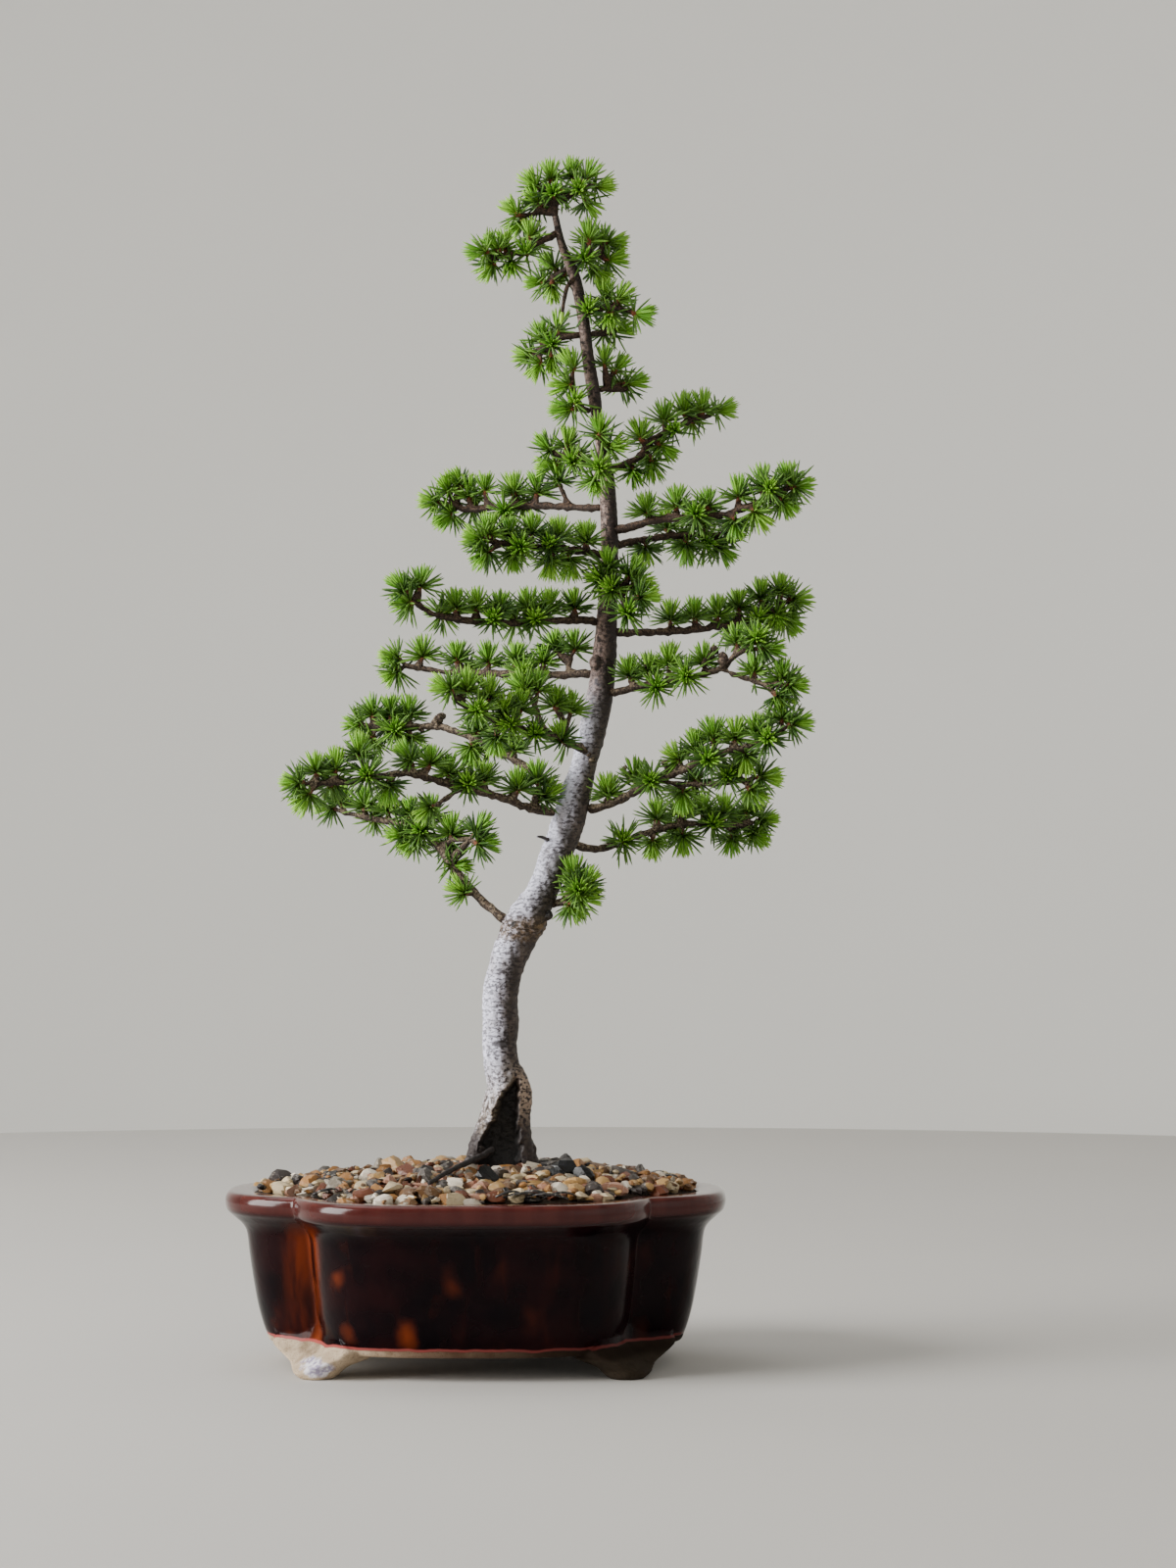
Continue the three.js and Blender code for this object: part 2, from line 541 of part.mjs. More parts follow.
// A branch is a list of twigs, each with its first radius and the points it runs through, and a
// list of tufts, each with the middle of its needles and the way it faces. The points are listed as
// the front view shows them, with a little depth, and swing is how far the branch reaches back
// for each millimetre that it reaches sideways. A negative swing brings it forward.
const BRANCHES = {
  crown: {
    swing: 0,
    twigs: [
      [1.7, [40, 0, 584.6], [38, 0, 594], [36, 0, 600]],
      [1.3, [39, 0, 589], [47, -2, 595], [57, -1, 600]],
      [1.2, [39, 0, 588], [30, 0, 586], [22, 1, 585]],
      [1.1, [39, 0, 590], [42, 8, 594]],
    ],
    tufts: [
      [37, 0, 606, "u"], [28, -2, 602, "ul"], [48, 3, 608, "u"], [58, 0, 606, "ur"],
      [52, -9, 599, "f"], [64, 1, 600, "r"], [39, -9, 597, "f"], [29, -2, 594, "lu"],
      [18, -2, 588, "lu"], [21, 3, 581, "ld"], [58, 2, 590, "rd"], [44, 14, 597, "k"],
      [32, 11, 590, "k"],
    ],
  },
  branch_top_left: {
    swing: -0.5,
    twigs: [[1.5, [40.5, 0, 575.5], [32, -1, 571], [24, -2, 567], [14, -2, 564], [8, -2, 564]]],
    tufts: [
      [1, -2, 566, "l"], [14, 0, 571, "u"], [8, -4, 570, "ul"], [6, 1, 558, "ld"],
      [27, 2, 577, "u"], [17, -5, 559, "df"], [25, -10, 566, "f"], [29, 9, 569, "k"],
    ],
  },
  branch_top_right: {
    swing: 0.5,
    twigs: [
      [1.4, [50.5, 0, 561.5], [57, 0, 563], [64, 0, 567]],
      [1.1, [57, 0, 563], [58, -5, 568]],
    ],
    tufts: [
      [70, 0, 571, "r"], [64, 3, 574, "u"], [57, -5, 575, "u"], [70, -3, 562, "r"],
      [62, 0, 555, "rd"], [58, 10, 565, "k"], [55, -11, 563, "f"],
    ],
  },
  branch_top_rear: {
    swing: 0.9,
    twigs: [[1.3, [46.5, 2.5, 558], [42, 5, 555], [37, 6, 552]]],
    tufts: [[37, 4, 560, "lu"], [30, 3, 550, "l"], [38, 2, 546, "d"], [44, 14, 554, "k"]],
  },
  branch_high_right: {
    swing: -0.3,
    twigs: [
      [1.4, [56.8, 0, 535], [64, 0, 537], [72, -1, 537], [79, 0, 535]],
      [1.1, [62, 0, 536.5], [59, -8, 537]],
    ],
    tufts: [
      [65, 2, 545, "u"], [74, 0, 542, "ur"], [83, 0, 535, "r"], [58, -13, 537, "f"],
      [68, -7, 532, "fd"], [70, 8, 536, "k"],
    ],
  },
  branch_high_left: {
    swing: 0.5,
    twigs: [[1.4, [52, 0, 523.5], [44, 0, 522], [37, 0, 518], [29, 0, 514]]],
    tufts: [
      [33, 2, 524, "u"], [41, -1, 529, "u"], [25, 0, 513, "l"], [30, -3, 506, "ld"],
      [38, 2, 509, "d"], [38, -9, 519, "f"], [36, 10, 519, "k"],
    ],
  },
  branch_high_right_low: {
    swing: 0.6,
    twigs: [[1.2, [58.8, 0, 524], [69, -2, 524]]],
    tufts: [[74, -2, 525, "r"], [65, 8, 524, "k"]],
  },
  branch_upper_right: {
    swing: 0.6,
    twigs: [
      [1.3, [63.2, 1, 495], [70, 0, 495], [77, 0, 495]],
      [1.0, [68, 1, 495], [68, 2, 502]],
    ],
    tufts: [[80, 0, 498, "r"], [73, 1, 507, "ru"], [65, 2, 511, "u"], [73, 9, 497, "k"]],
  },
  branch_upper_left: {
    swing: -0.6,
    twigs: [
      [1.3, [58, 1, 484], [51, 1, 485]],
      [1.0, [53, 1, 485], [50, 1, 494], [48, 1, 502]],
    ],
    tufts: [[45, 1, 485, "l"], [44, 0, 497, "l"], [47, 1, 508, "lu"], [50, -8, 489, "f"]],
  },
  branch_front_high: {
    swing: 0,
    twigs: [
      [1.4, [64, -3.5, 463], [64, -10, 465], [63, -16, 469]],
      [1.1, [64, -10, 465], [63, -16, 457]],
    ],
    tufts: [[63, -20, 474, "fu"], [63, -22, 455, "f"], [60, -14, 446, "fd"], [70, -15, 466, "fr"]],
  },
  branch_left_spur: {
    swing: 0.5,
    twigs: [[1.5, [61, 1, 457], [54, 2, 458], [46, 3, 460], [40, 3, 462]]],
    tufts: [
      [35, 3, 466, "lu"], [46, 2, 469, "u"], [37, 3, 456, "l"], [52, 11, 461, "k"],
      [49, -6, 458, "f"],
    ],
  },
  branch_right_1: {
    swing: 0.4,
    twigs: [
      [1.8, [70.5, 2, 454.5], [84, 4, 461], [88, 5, 468], [97, 7, 473], [107, 8, 478], [120, 9, 482]],
    ],
    tufts: [
      [84, 3, 473, "u"], [96, 7, 482, "u"], [106, 10, 486, "u"], [115, 6, 487, "u"],
      [126, 9, 484, "r"], [96, 3, 464, "rd"], [89, 4, 455, "d"], [79, 0, 452, "df"],
      [101, -2, 474, "f"], [110, 16, 478, "k"], [88, 14, 466, "k"],
    ],
  },
  branch_right_2: {
    swing: -0.3,
    twigs: [
      [
        2.0, [73, -1, 423], [82, -3, 425], [92, -5, 428], [107, -8, 429], [124, -10, 430],
        [137, -11, 434], [152, -11, 440], [159, -11, 444],
      ],
    ],
    tufts: [
      [87, -4, 434, "u"], [102, -7, 438, "u"], [118, -9, 438, "u"], [134, -10, 443, "u"],
      [146, -8, 448, "u"], [150, -19, 444, "f"], [159, -11, 451, "u"], [166, -11, 445, "r"],
      [132, -12, 424, "d"], [144, -11, 430, "rd"], [158, -10, 436, "rd"], [112, -17, 431, "f"],
    ],
  },
  branch_right_3: {
    swing: 0.4,
    twigs: [[1.8, [72.5, 5, 415], [87, 12, 418], [107, 21, 420], [124, 26, 420]]],
    tufts: [
      [86, 9, 411, "d"], [107, 18, 412, "d"], [117, 18, 416, "f"], [131, 26, 421, "r"],
      [126, 25, 412, "rd"], [97, 21, 427, "u"], [115, 26, 428, "u"], [104, 30, 419, "k"],
    ],
  },
  branch_left_1: {
    swing: 0.35,
    twigs: [
      [
        1.9, [62, 3, 434], [52, 6, 434], [32, 10, 435], [7, 12, 434], [-6, 12, 433],
        [-14, 12, 436],
      ],
      [1.2, [48, 7, 434], [43, 8, 444]],
    ],
    tufts: [
      [42, 8, 451, "u"], [31, 10, 445, "u"], [14, 5, 433, "f"], [19, 12, 445, "u"],
      [4, 11, 446, "u"], [-4, 14, 443, "u"], [-11, 12, 448, "ul"], [-17, 8, 443, "lf"],
      [-24, 12, 437, "l"], [-15, 12, 429, "ld"], [24, 19, 436, "k"], [-2, 20, 434, "k"],
    ],
  },
  branch_left_2: {
    swing: -0.4,
    twigs: [[1.9, [62.5, -1, 410], [52, -5, 412], [37, -10, 413], [22, -13, 415], [9, -14, 416]]],
    tufts: [
      [56, -6, 420, "u"], [42, -9, 422, "u"], [36, -17, 415, "f"], [28, -12, 424, "u"],
      [16, -13, 423, "u"], [6, -15, 424, "u"], [-1, -14, 418, "l"], [3, -14, 409, "ld"],
      [18, -12, 407, "d"], [37, -11, 404, "d"], [47, -6, 405, "d"], [22, -21, 414, "f"],
    ],
  },
  branch_front_middle: {
    swing: -0.5,
    twigs: [
      [1.6, [68, -3.5, 394], [70, -11, 392], [76, -18, 385]],
      [1.2, [70, -11, 392], [67, -14, 400]],
      [1.2, [70, -11, 392], [78, -11, 396]],
    ],
    tufts: [
      [61, -14, 398, "lf"], [67, -16, 406, "fu"], [80, -10, 402, "ur"], [84, -9, 395, "r"],
      [77, -24, 380, "f"], [87, -16, 388, "r"], [69, -20, 392, "f"],
    ],
  },
  branch_left_3: {
    swing: -0.4,
    twigs: [
      [
        1.9, [60, 0, 376], [42, -2, 376], [24, -4, 375], [7, -5, 375], [-13, -5, 377],
        [-26, -5, 381], [-33, -5, 388],
      ],
    ],
    tufts: [
      [-40, -5, 394, "lu"], [-29, -5, 397, "u"], [-38, -5, 385, "l"], [-11, -5, 386, "u"],
      [0, -4, 386, "u"], [12, -6, 385, "u"], [26, -4, 386, "u"], [36, -2, 385, "u"],
      [50, -1, 386, "u"], [8, -12, 377, "f"], [30, -11, 377, "f"], [-18, 2, 379, "k"],
      [20, 3, 376, "k"],
    ],
  },
  branch_right_4: {
    swing: 0.4,
    twigs: [
      [
        1.9, [72, 2, 370], [87, 6, 370], [107, 10, 371], [124, 12, 373], [142, 12, 377],
        [157, 12, 384],
      ],
    ],
    tufts: [
      [99, 9, 380, "u"], [111, 10, 381, "u"], [123, 11, 382, "u"], [134, 12, 386, "u"],
      [145, 12, 391, "u"], [155, 12, 394, "u"], [164, 12, 387, "r"], [144, 4, 377, "f"],
      [153, 5, 377, "fd"], [160, 12, 375, "rd"], [129, 20, 373, "k"], [148, 20, 380, "k"],
    ],
  },
  branch_left_4: {
    swing: 0.35,
    twigs: [
      [
        2.0, [58, 3, 349], [37, 8, 348], [22, 11, 348], [7, 13, 349], [-18, 15, 350],
        [-37, 15, 353],
      ],
      [1.2, [46, 6, 348], [48, 9, 358]],
    ],
    tufts: [
      [-44, 15, 357, "l"], [-28, 14, 361, "u"], [-10, 15, 359, "u"], [6, 13, 358, "u"],
      [20, 11, 359, "u"], [24, 3, 349, "f"], [34, 9, 358, "u"], [50, 9, 365, "u"],
      [40, 12, 365, "u"], [-43, 15, 348, "ld"], [-5, 22, 350, "k"], [27, 19, 349, "k"],
    ],
  },
  branch_right_5: {
    swing: -0.35,
    twigs: [
      [2.0, [71.5, -3, 339.5], [82, -6, 342], [97, -9, 344], [117, -12, 349], [124, -13, 351]],
      [1.4, [124, -13, 351], [132, -14, 358], [139, -14, 363]],
      [1.4, [124, -13, 351], [139, -12, 346], [151, -11, 342]],
    ],
    tufts: [
      [143, -18, 367, "f"], [150, -13, 362, "r"], [133, -13, 368, "u"], [142, -11, 353, "u"],
      [156, -11, 350, "u"], [163, -10, 343, "r"], [156, -12, 335, "rd"], [78, -5, 351, "u"],
      [88, -6, 353, "u"], [98, -8, 357, "u"], [107, -19, 348, "f"], [116, -11, 358, "u"],
      [92, -15, 342, "f"],
    ],
  },
  branch_front_left: {
    swing: -0.35,
    twigs: [
      [
        2.2, [53, -5.5, 311], [45, -12, 314], [34, -18, 318], [17, -25, 322], [2, -29, 328],
        [-12, -31, 336],
      ],
      [1.3, [34, -18, 318], [31, -17, 328], [28, -17, 336]],
      [1.3, [45, -12, 314], [46, -11, 325]],
    ],
    tufts: [
      [-17, -32, 341, "l"], [-5, -30, 344, "u"], [6, -28, 340, "u"], [13, -29, 332, "uf"],
      [0, -37, 330, "f"], [17, -34, 323, "f"], [30, -26, 318, "f"], [22, -23, 334, "u"],
      [22, -16, 343, "ul"], [31, -17, 344, "u"], [40, -14, 336, "u"], [48, -10, 333, "u"],
      [43, -17, 312, "fd"], [10, -26, 313, "d"],
    ],
  },
  branch_left_6: {
    swing: 0.45,
    twigs: [
      [
        2.1, [39.5, 1, 290], [34, 2, 295], [22, 3, 303], [12, 4, 309], [2, 5, 314],
        [-16, 6, 321], [-28, 7, 322], [-46, 7, 321], [-55, 7, 322],
      ],
    ],
    tufts: [
      [-63, 7, 323, "l"], [-53, 7, 331, "u"], [-44, 6, 331, "u"], [-35, 8, 331, "u"],
      [-56, 5, 313, "ld"], [-34, 7, 313, "d"], [1, 5, 323, "u"], [19, 3, 313, "u"],
      [-3, 3, 308, "d"], [-42, -2, 320, "f"], [-46, 15, 321, "k"], [8, 12, 312, "k"],
    ],
  },
  branch_left_7: {
    swing: -0.35,
    twigs: [
      [
        2.2, [38.5, -3, 278], [27, -6, 280], [17, -8, 284], [2, -11, 288], [-8, -12, 290],
        [-23, -13, 295], [-36, -13, 298], [-51, -12, 296], [-71, -11, 293], [-86, -10, 293],
      ],
      [1.2, [-51, -12, 296], [-58, -10, 303]],
      [1.2, [-8, -12, 290], [-16, -16, 285], [-21, -18, 281]],
      [1.2, [27, -6, 280], [32, -5, 290]],
    ],
    tufts: [
      [36, -6, 288, "ur"], [31, -5, 297, "u"], [21, -8, 293, "u"], [3, -11, 298, "u"],
      [-5, -19, 292, "f"], [-14, -13, 301, "u"], [-24, -14, 306, "u"], [-36, -13, 307, "ul"],
      [-94, -10, 293, "l"], [-82, -10, 302, "u"], [-72, -11, 303, "u"], [-56, -20, 297, "f"],
      [-45, -14, 289, "d"], [-60, -10, 311, "u"], [-26, -20, 278, "ld"], [-74, -3, 292, "k"],
      [-88, -10, 285, "ld"],
    ],
  },
  branch_low_left: {
    swing: 0.5,
    twigs: [
      [
        2.3, [13.2, -1, 224], [3, 2, 233], [-9, 5, 246], [-20, 7, 261], [-28, 8, 269],
        [-43, 9, 273], [-60, 9, 276], [-69, 9, 278],
      ],
      [1.2, [-20, 7, 261], [-10, 4, 264], [-3, 3, 264]],
    ],
    tufts: [
      [-4, 1, 241, "u"], [-15, 3, 251, "lf"], [-13, 6, 270, "u"], [4, 3, 262, "r"],
      [2, 3, 270, "ru"], [-34, 6, 261, "ld"], [-28, 1, 268, "f"], [-77, 9, 280, "l"],
      [-69, 9, 286, "u"], [-57, 9, 284, "u"], [-45, 9, 282, "u"], [-34, 9, 280, "u"],
      [-24, 10, 279, "u"], [-40, 3, 266, "lf"], [-52, 17, 274, "k"], [-16, 14, 260, "k"],
    ],
  },
  branch_right_6: {
    swing: -0.3,
    twigs: [
      [
        2.3, [58, -2, 279.5], [67, -4, 282], [82, -7, 289], [92, -9, 294], [102, -11, 298],
        [112, -12, 303], [127, -13, 309], [142, -13, 313], [156, -13, 320],
      ],
      [1.4, [92, -9, 294], [112, -5, 292], [127, -3, 293], [140, -2, 295]],
    ],
    tufts: [
      [67, -4, 290, "u"], [81, -6, 298, "u"], [89, -16, 294, "f"], [101, -10, 307, "ul"],
      [112, -12, 313, "u"], [121, -12, 319, "u"], [118, -20, 305, "f"], [132, -13, 319, "u"],
      [143, -13, 322, "u"], [149, -20, 316, "f"], [156, -13, 329, "u"], [164, -13, 323, "r"],
      [137, -12, 306, "d"], [112, 1, 294, "k"], [128, -8, 296, "f"], [134, -2, 303, "u"],
      [148, -2, 296, "r"], [142, -3, 287, "rd"], [105, -5, 286, "d"],
    ],
  },
  branch_right_7: {
    swing: 0.5,
    twigs: [
      [
        1.9, [51.5, 3, 261], [59, 5, 259], [72, 8, 262], [82, 10, 266], [92, 12, 269],
        [104, 13, 272], [117, 14, 272], [129, 15, 271], [140, 15, 272],
      ],
    ],
    tufts: [
      [74, 1, 263, "f"], [90, 11, 260, "d"], [92, 11, 278, "u"], [104, 13, 281, "u"],
      [115, 14, 281, "u"], [126, 14, 280, "u"], [130, 15, 262, "d"], [138, 15, 281, "u"],
      [148, 15, 274, "r"], [105, 12, 263, "d"], [120, 7, 272, "f"], [100, 21, 270, "k"],
      [133, 22, 272, "k"], [143, 15, 265, "rd"],
    ],
  },
  branch_low_right: {
    swing: -0.5,
    twigs: [[2.0, [41, -3, 231], [47, -5, 234]], [1.3, [45, -4.5, 233], [50, -5, 240]]],
    tufts: [
      [56, -6, 234, "r"], [57, -5, 243, "ur"], [50, -5, 248, "u"], [52, -13, 238, "f"],
      [52, 3, 240, "k"], [50, -7, 228, "rd"],
    ],
  },
};

// The point that the front view is seen from.
const EYE = { x: 56.75, z: 229, distance: 1600 };

// Moves a listed point along its line of sight to its real depth.
function inDepth([x, y, z], { swing, twigs }) {
  const rootX = twigs[0][1][0];
  const depth = y + swing * Math.abs(x - rootX);
  const share = 1 + depth / EYE.distance;
  return new THREE.Vector3(EYE.x + (x - EYE.x) * share, depth, EYE.z + (z - EYE.z) * share);
}

// What a needle has to stay clear of, each a line with its thickness, its branch and its tuft.
const occupied = [];

function occupy(owner, tuft, start, end, radius) {
  occupied.push({ owner, tuft, line: new THREE.Line3(start.clone(), end.clone()), radius });
}

// The least distance between the stretch from root to tip and a line.
function distanceToLine(root, tip, line) {
  const length = root.distanceTo(tip);
  const ray = new THREE.Ray(root, new THREE.Vector3().subVectors(tip, root).normalize());
  const onRay = new THREE.Vector3();
  const nearest = Math.sqrt(ray.distanceSqToSegment(line.start, line.end, onRay));
  if (root.distanceTo(onRay) <= length) return nearest;
  const onLine = line.closestPointToPoint(tip, true, new THREE.Vector3());
  return onLine.distanceTo(tip);
}

function isClear(root, tip, others, clearance) {
  return others.every(
    ({ line, radius }) => distanceToLine(root, tip, line) > radius + clearance,
  );
}

// What lies within a needle's reach of a bud, leaving out the bud's own needles.
function neighbours(centre, owner, tuft) {
  const closest = new THREE.Vector3();
  return occupied.filter((other) => {
    const distance = other.line.closestPointToPoint(centre, true, closest).distanceTo(centre);
    const isOwn = other.owner === owner && other.tuft === tuft;
    return distance < NEEDLE_REACH + 4 && !isOwn;
  });
}

// A branch grows as one closed skin of three-cornered faces. Side twigs, spurs and needles are
// raised from single faces of it, so that nothing crosses where they join.
class Skin {
  constructor(rings) {
    const base = skin(rings);
    const position = base.getAttribute("position");
    this.points = Array.from({ length: position.count }, (_, i) =>
      new THREE.Vector3().fromBufferAttribute(position, i),
    );
    const index = base.getIndex().array;
    this.faces = new Set();
    for (let i = 0; i < index.length; i += 3) this.faces.add([...index.slice(i, i + 3)]);
  }

  addRing(ring) {
    return ring.map((corner) => this.points.push(corner) - 1);
  }

  middle(face) {
    const [a, b, c] = face.map((corner) => this.points[corner]);
    return a.clone().add(b).add(c).divideScalar(3);
  }

  normal(face) {
    const [a, b, c] = face.map((corner) => this.points[corner]);
    return new THREE.Triangle(a, b, c).getNormal(new THREE.Vector3());
  }

  // Takes a face and the faces beside it out of the list that later twigs may grow from.
  settle(face, free) {
    free.delete(face);
    for (const other of free) {
      if (other.filter((corner) => face.includes(corner)).length > 1) free.delete(other);
    }
  }

  // Replaces a face with a three-sided tube through the rings and returns the corners of its end.
  raise(face, rings) {
    this.faces.delete(face);
    const walls = [];
    let base = face;
    for (const ring of rings) {
      const end = this.addRing(ring);
      for (let i = 0; i < 3; i += 1) {
        const next = (i + 1) % 3;
        walls.push([base[i], base[next], end[next]], [base[i], end[next], end[i]]);
      }
      base = end;
    }
    for (const wall of walls) this.faces.add(wall);
    return { end: base, walls };
  }

  // Replaces a face with a pyramid up to the tip.
  raiseTip(face, tip) {
    this.faces.delete(face);
    const [a, b, c] = face;
    const top = this.points.push(tip) - 1;
    this.faces.add([a, b, top]).add([b, c, top]).add([c, a, top]);
  }

  solid() {
    return toSolid(indexedGeometry(this.points, [...this.faces]));
  }
}

const RING_STEP = 5; // between the rings of a twig
const BRANCH_SIDES = 4;
const BUD_BEHIND = 3.5; // how far the bud lies behind the middle of its needles
const SHORTEST_SPUR = 3.4;
const WIDEST_BEND = 1.1; // radians between a spur and its tuft
const LEAST_LEAN = 0.35; // how squarely a spur leaves its face, as a cosine
const LEAN_COST = 7; // millimetres of detour that a face turned square to its spur is worth
const TURNED_AWAY_COST = 100;
const ROOT_DEPTH = 0.7; // how far into the trunk a branch starts, as a share of the way
const BUD_LEVELS = [-0.75, 0.35, 1.3]; // the two rings of a bud and its point, along its axis
const SOFTENING = 0.2; // how fast a tuft turns towards its spur where the bend is too wide

function twigCentres(stops) {
  const curve = new THREE.CatmullRomCurve3(stops, false, "centripetal");
  return curve.getSpacedPoints(Math.max(2, Math.round(curve.getLength() / RING_STEP)));
}

function twigRadii(first, count) {
  return Array.from({ length: count }, (_, i) =>
    THREE.MathUtils.lerp(first, TWIG_END_RADIUS, i / (count - 1)),
  );
}

// The point of the trunk's middle line that lies nearest.
function trunkMiddle(target) {
  let best = point(TRUNK[0]);
  for (let i = 0; i + 1 < TRUNK.length; i += 1) {
    const line = new THREE.Line3(point(TRUNK[i]), point(TRUNK[i + 1]));
    const candidate = line.closestPointToPoint(target, true, new THREE.Vector3());
    if (candidate.distanceTo(target) < best.distanceTo(target)) best = candidate;
  }
  return best;
}

// The face that a twig or spur towards the target grows from best: near, and turned to it.
function bestFace(sprig, free, target) {
  let best = null;
  for (const face of free) {
    const away = new THREE.Vector3().subVectors(target, sprig.middle(face));
    const distance = away.length();
    const lean = sprig.normal(face).dot(away) / distance;
    const turnedAway = Math.max(0, LEAST_LEAN - lean);
    const cost = distance + LEAN_COST * (1 - lean) + TURNED_AWAY_COST * turnedAway;
    if (!best || cost < best.cost) best = { face, cost };
  }
  return best.face;
}

function sideOf(sprig, face, direction) {
  const corner = sprig.points[face[0]].clone();
  return corner.sub(sprig.middle(face)).projectOnPlane(direction).normalize();
}

// The wood of a branch: the main twig from inside the trunk outwards, then the side twigs.
function growWood(owner, branch) {
  const [[first, ...mainStops], ...sideTwigs] = branch.twigs;
  const stops = mainStops.map((stop) => inDepth(stop, branch));
  const start = stops[0].clone().lerp(trunkMiddle(stops[0]), ROOT_DEPTH);
  const centres = twigCentres([start, ...stops]);
  const radii = twigRadii(first, centres.length);
  const sprig = new Skin(stemRings(centres, radii, BRANCH_SIDES));
  const free = new Set(sprig.faces);
  occupyTwig(owner, centres, radii);
  for (const [sideFirst, ...sideStops] of sideTwigs) {
    const sideCentres = twigCentres(sideStops.map((stop) => inDepth(stop, branch))).slice(1);
    const face = bestFace(sprig, free, sideCentres[0]);
    const middle = sprig.middle(face);
    const direction = new THREE.Vector3().subVectors(sideCentres[0], middle).normalize();
    const sideRadii = twigRadii(sideFirst, sideCentres.length);
    const rings = stemRings(sideCentres, sideRadii, 3, sideOf(sprig, face, direction));
    sprig.settle(face, free);
    const { end, walls } = sprig.raise(face, rings);
    sprig.faces.add(end);
    for (const wall of [...walls, end]) free.add(wall);
    occupyTwig(owner, [middle, ...sideCentres], [sideFirst, ...sideRadii]);
  }
  return { sprig, free };
}

function occupyTwig(owner, centres, radii) {
  for (let i = 0; i + 1 < centres.length; i += 1) {
    occupy(owner, null, centres[i], centres[i + 1], radii[i]);
  }
}

// A spur that swells into a bud. The bud is two rings and a point, and its nine faces are handed
// back for the needles, each with the slope its needle has from the way the tuft faces.
function growBud(owner, index, { sprig, free }, middle, letters) {
  const axis = facing(letters);
  const bud = middle.clone().addScaledVector(axis, -BUD_BEHIND);
  const face = bestFace(sprig, free, bud);
  const root = sprig.middle(face);
  const along = new THREE.Vector3().subVectors(bud, root);
  const reach = Math.max(along.length(), SHORTEST_SPUR);
  along.normalize();
  bud.copy(root).addScaledVector(along, reach);
  while (axis.angleTo(along) > WIDEST_BEND) axis.addScaledVector(along, SOFTENING).normalize();

  const side = sideOf(sprig, face, along).projectOnPlane(axis).normalize();
  const [lowMiddle, highMiddle, tip] = BUD_LEVELS.map((level) =>
    bud.clone().addScaledVector(axis, level),
  );
  const low = circle(lowMiddle, axis, side, BUD_RADIUS, 3);
  const high = circle(highMiddle, axis, side, BUD_RADIUS, 3, Math.PI / 3);
  sprig.settle(face, free);
  const { end: lower } = sprig.raise(face, [low]);
  const upper = sprig.addRing(high);
  const top = sprig.points.push(tip) - 1;
  const needles = lower.flatMap((corner, i) => {
    const next = (i + 1) % 3;
    return [
      { face: [corner, lower[next], upper[i]], slope: LOW_SLOPE },
      { face: [lower[next], upper[next], upper[i]], slope: HIGH_SLOPE },
      { face: [upper[i], upper[next], top], slope: TIP_SLOPE },
    ];
  });
  occupy(owner, index, root, tip, BUD_RADIUS);
  return { bud, axis, needles };
}

// Slope from the way the tuft faces of the needles in each band, in degrees.
const LOW_SLOPE = 94;
const HIGH_SLOPE = 60;
const TIP_SLOPE = 26;
const SLOPE_SPREAD = 10;
const TURNS = [0, 0.2, -0.2, 0.4, -0.4];
const SHARES = [1, 0.8, 0.62, 0.45, 0.3];

// A needle's tip: straight out where there is room, else turned round the axis or shorter.
function needleTip({ bud, axis }, centre, slope, around) {
  const angle = THREE.MathUtils.degToRad(slope);
  const sideways = centre.clone().sub(bud).projectOnPlane(axis).normalize();
  const tips = SHARES.flatMap((share) =>
    TURNS.map((turn) => {
      const direction = sideways
        .clone()
        .applyAxisAngle(axis, turn)
        .multiplyScalar(Math.sin(angle))
        .addScaledVector(axis, Math.cos(angle));
      return bud.clone().addScaledVector(direction, NEEDLE_REACH * share);
    }),
  );
  const roomy = tips.find((tip) => {
    const waist = centre.clone().lerp(tip, WAIST);
    return (
      isClear(centre, waist, around, NEEDLE_ROOT_RADIUS + NEEDLE_GAP) &&
      isClear(waist, tip, around, NEEDLE_RADIUS + NEEDLE_GAP)
    );
  });
  return roomy ?? centre.clone().addScaledVector(sideways, 1);
}

function growNeedles(owner, index, sprig, tuft, random) {
  const around = neighbours(tuft.bud, owner, index);
  for (const { face, slope } of tuft.needles) {
    const centre = sprig.middle(face);
    const tip = needleTip(tuft, centre, slope + SLOPE_SPREAD * (random() - 0.5), around);
    const waist = centre.clone().lerp(tip, WAIST);
    sprig.raiseTip(face, tip);
    occupy(owner, index, centre, waist, NEEDLE_ROOT_RADIUS);
    occupy(owner, index, waist, tip, NEEDLE_RADIUS);
  }
}

// All wood and all buds take their room first, and the needles fit in between.
function makeBranches() {
  for (let i = 0; i + 1 < TRUNK.length; i += 1) {
    occupy("trunk", null, point(TRUNK[i]), point(TRUNK[i + 1]), TRUNK[i][3]);
  }
  const branches = Object.entries(BRANCHES).map(([owner, branch]) => {
    const wood = growWood(owner, branch);
    const tufts = branch.tufts.map((tuft, index) =>
      growBud(owner, index, wood, inDepth(tuft, branch), tuft[3]),
    );
    return { owner, sprig: wood.sprig, tufts };
  });
  const seat = stemThrough(TRUNK, TRUNK_SIDES, SEAT_ROOM);
  const random = randomStream(5);
  return branches.map(({ owner, sprig, tufts }) => {
    tufts.forEach((tuft, index) => growNeedles(owner, index, sprig, tuft, random));
    return [owner, mainBody(sprig.solid().subtract(seat))];
  });
}

// ---- The whole ------------------------------------------------------------------------------

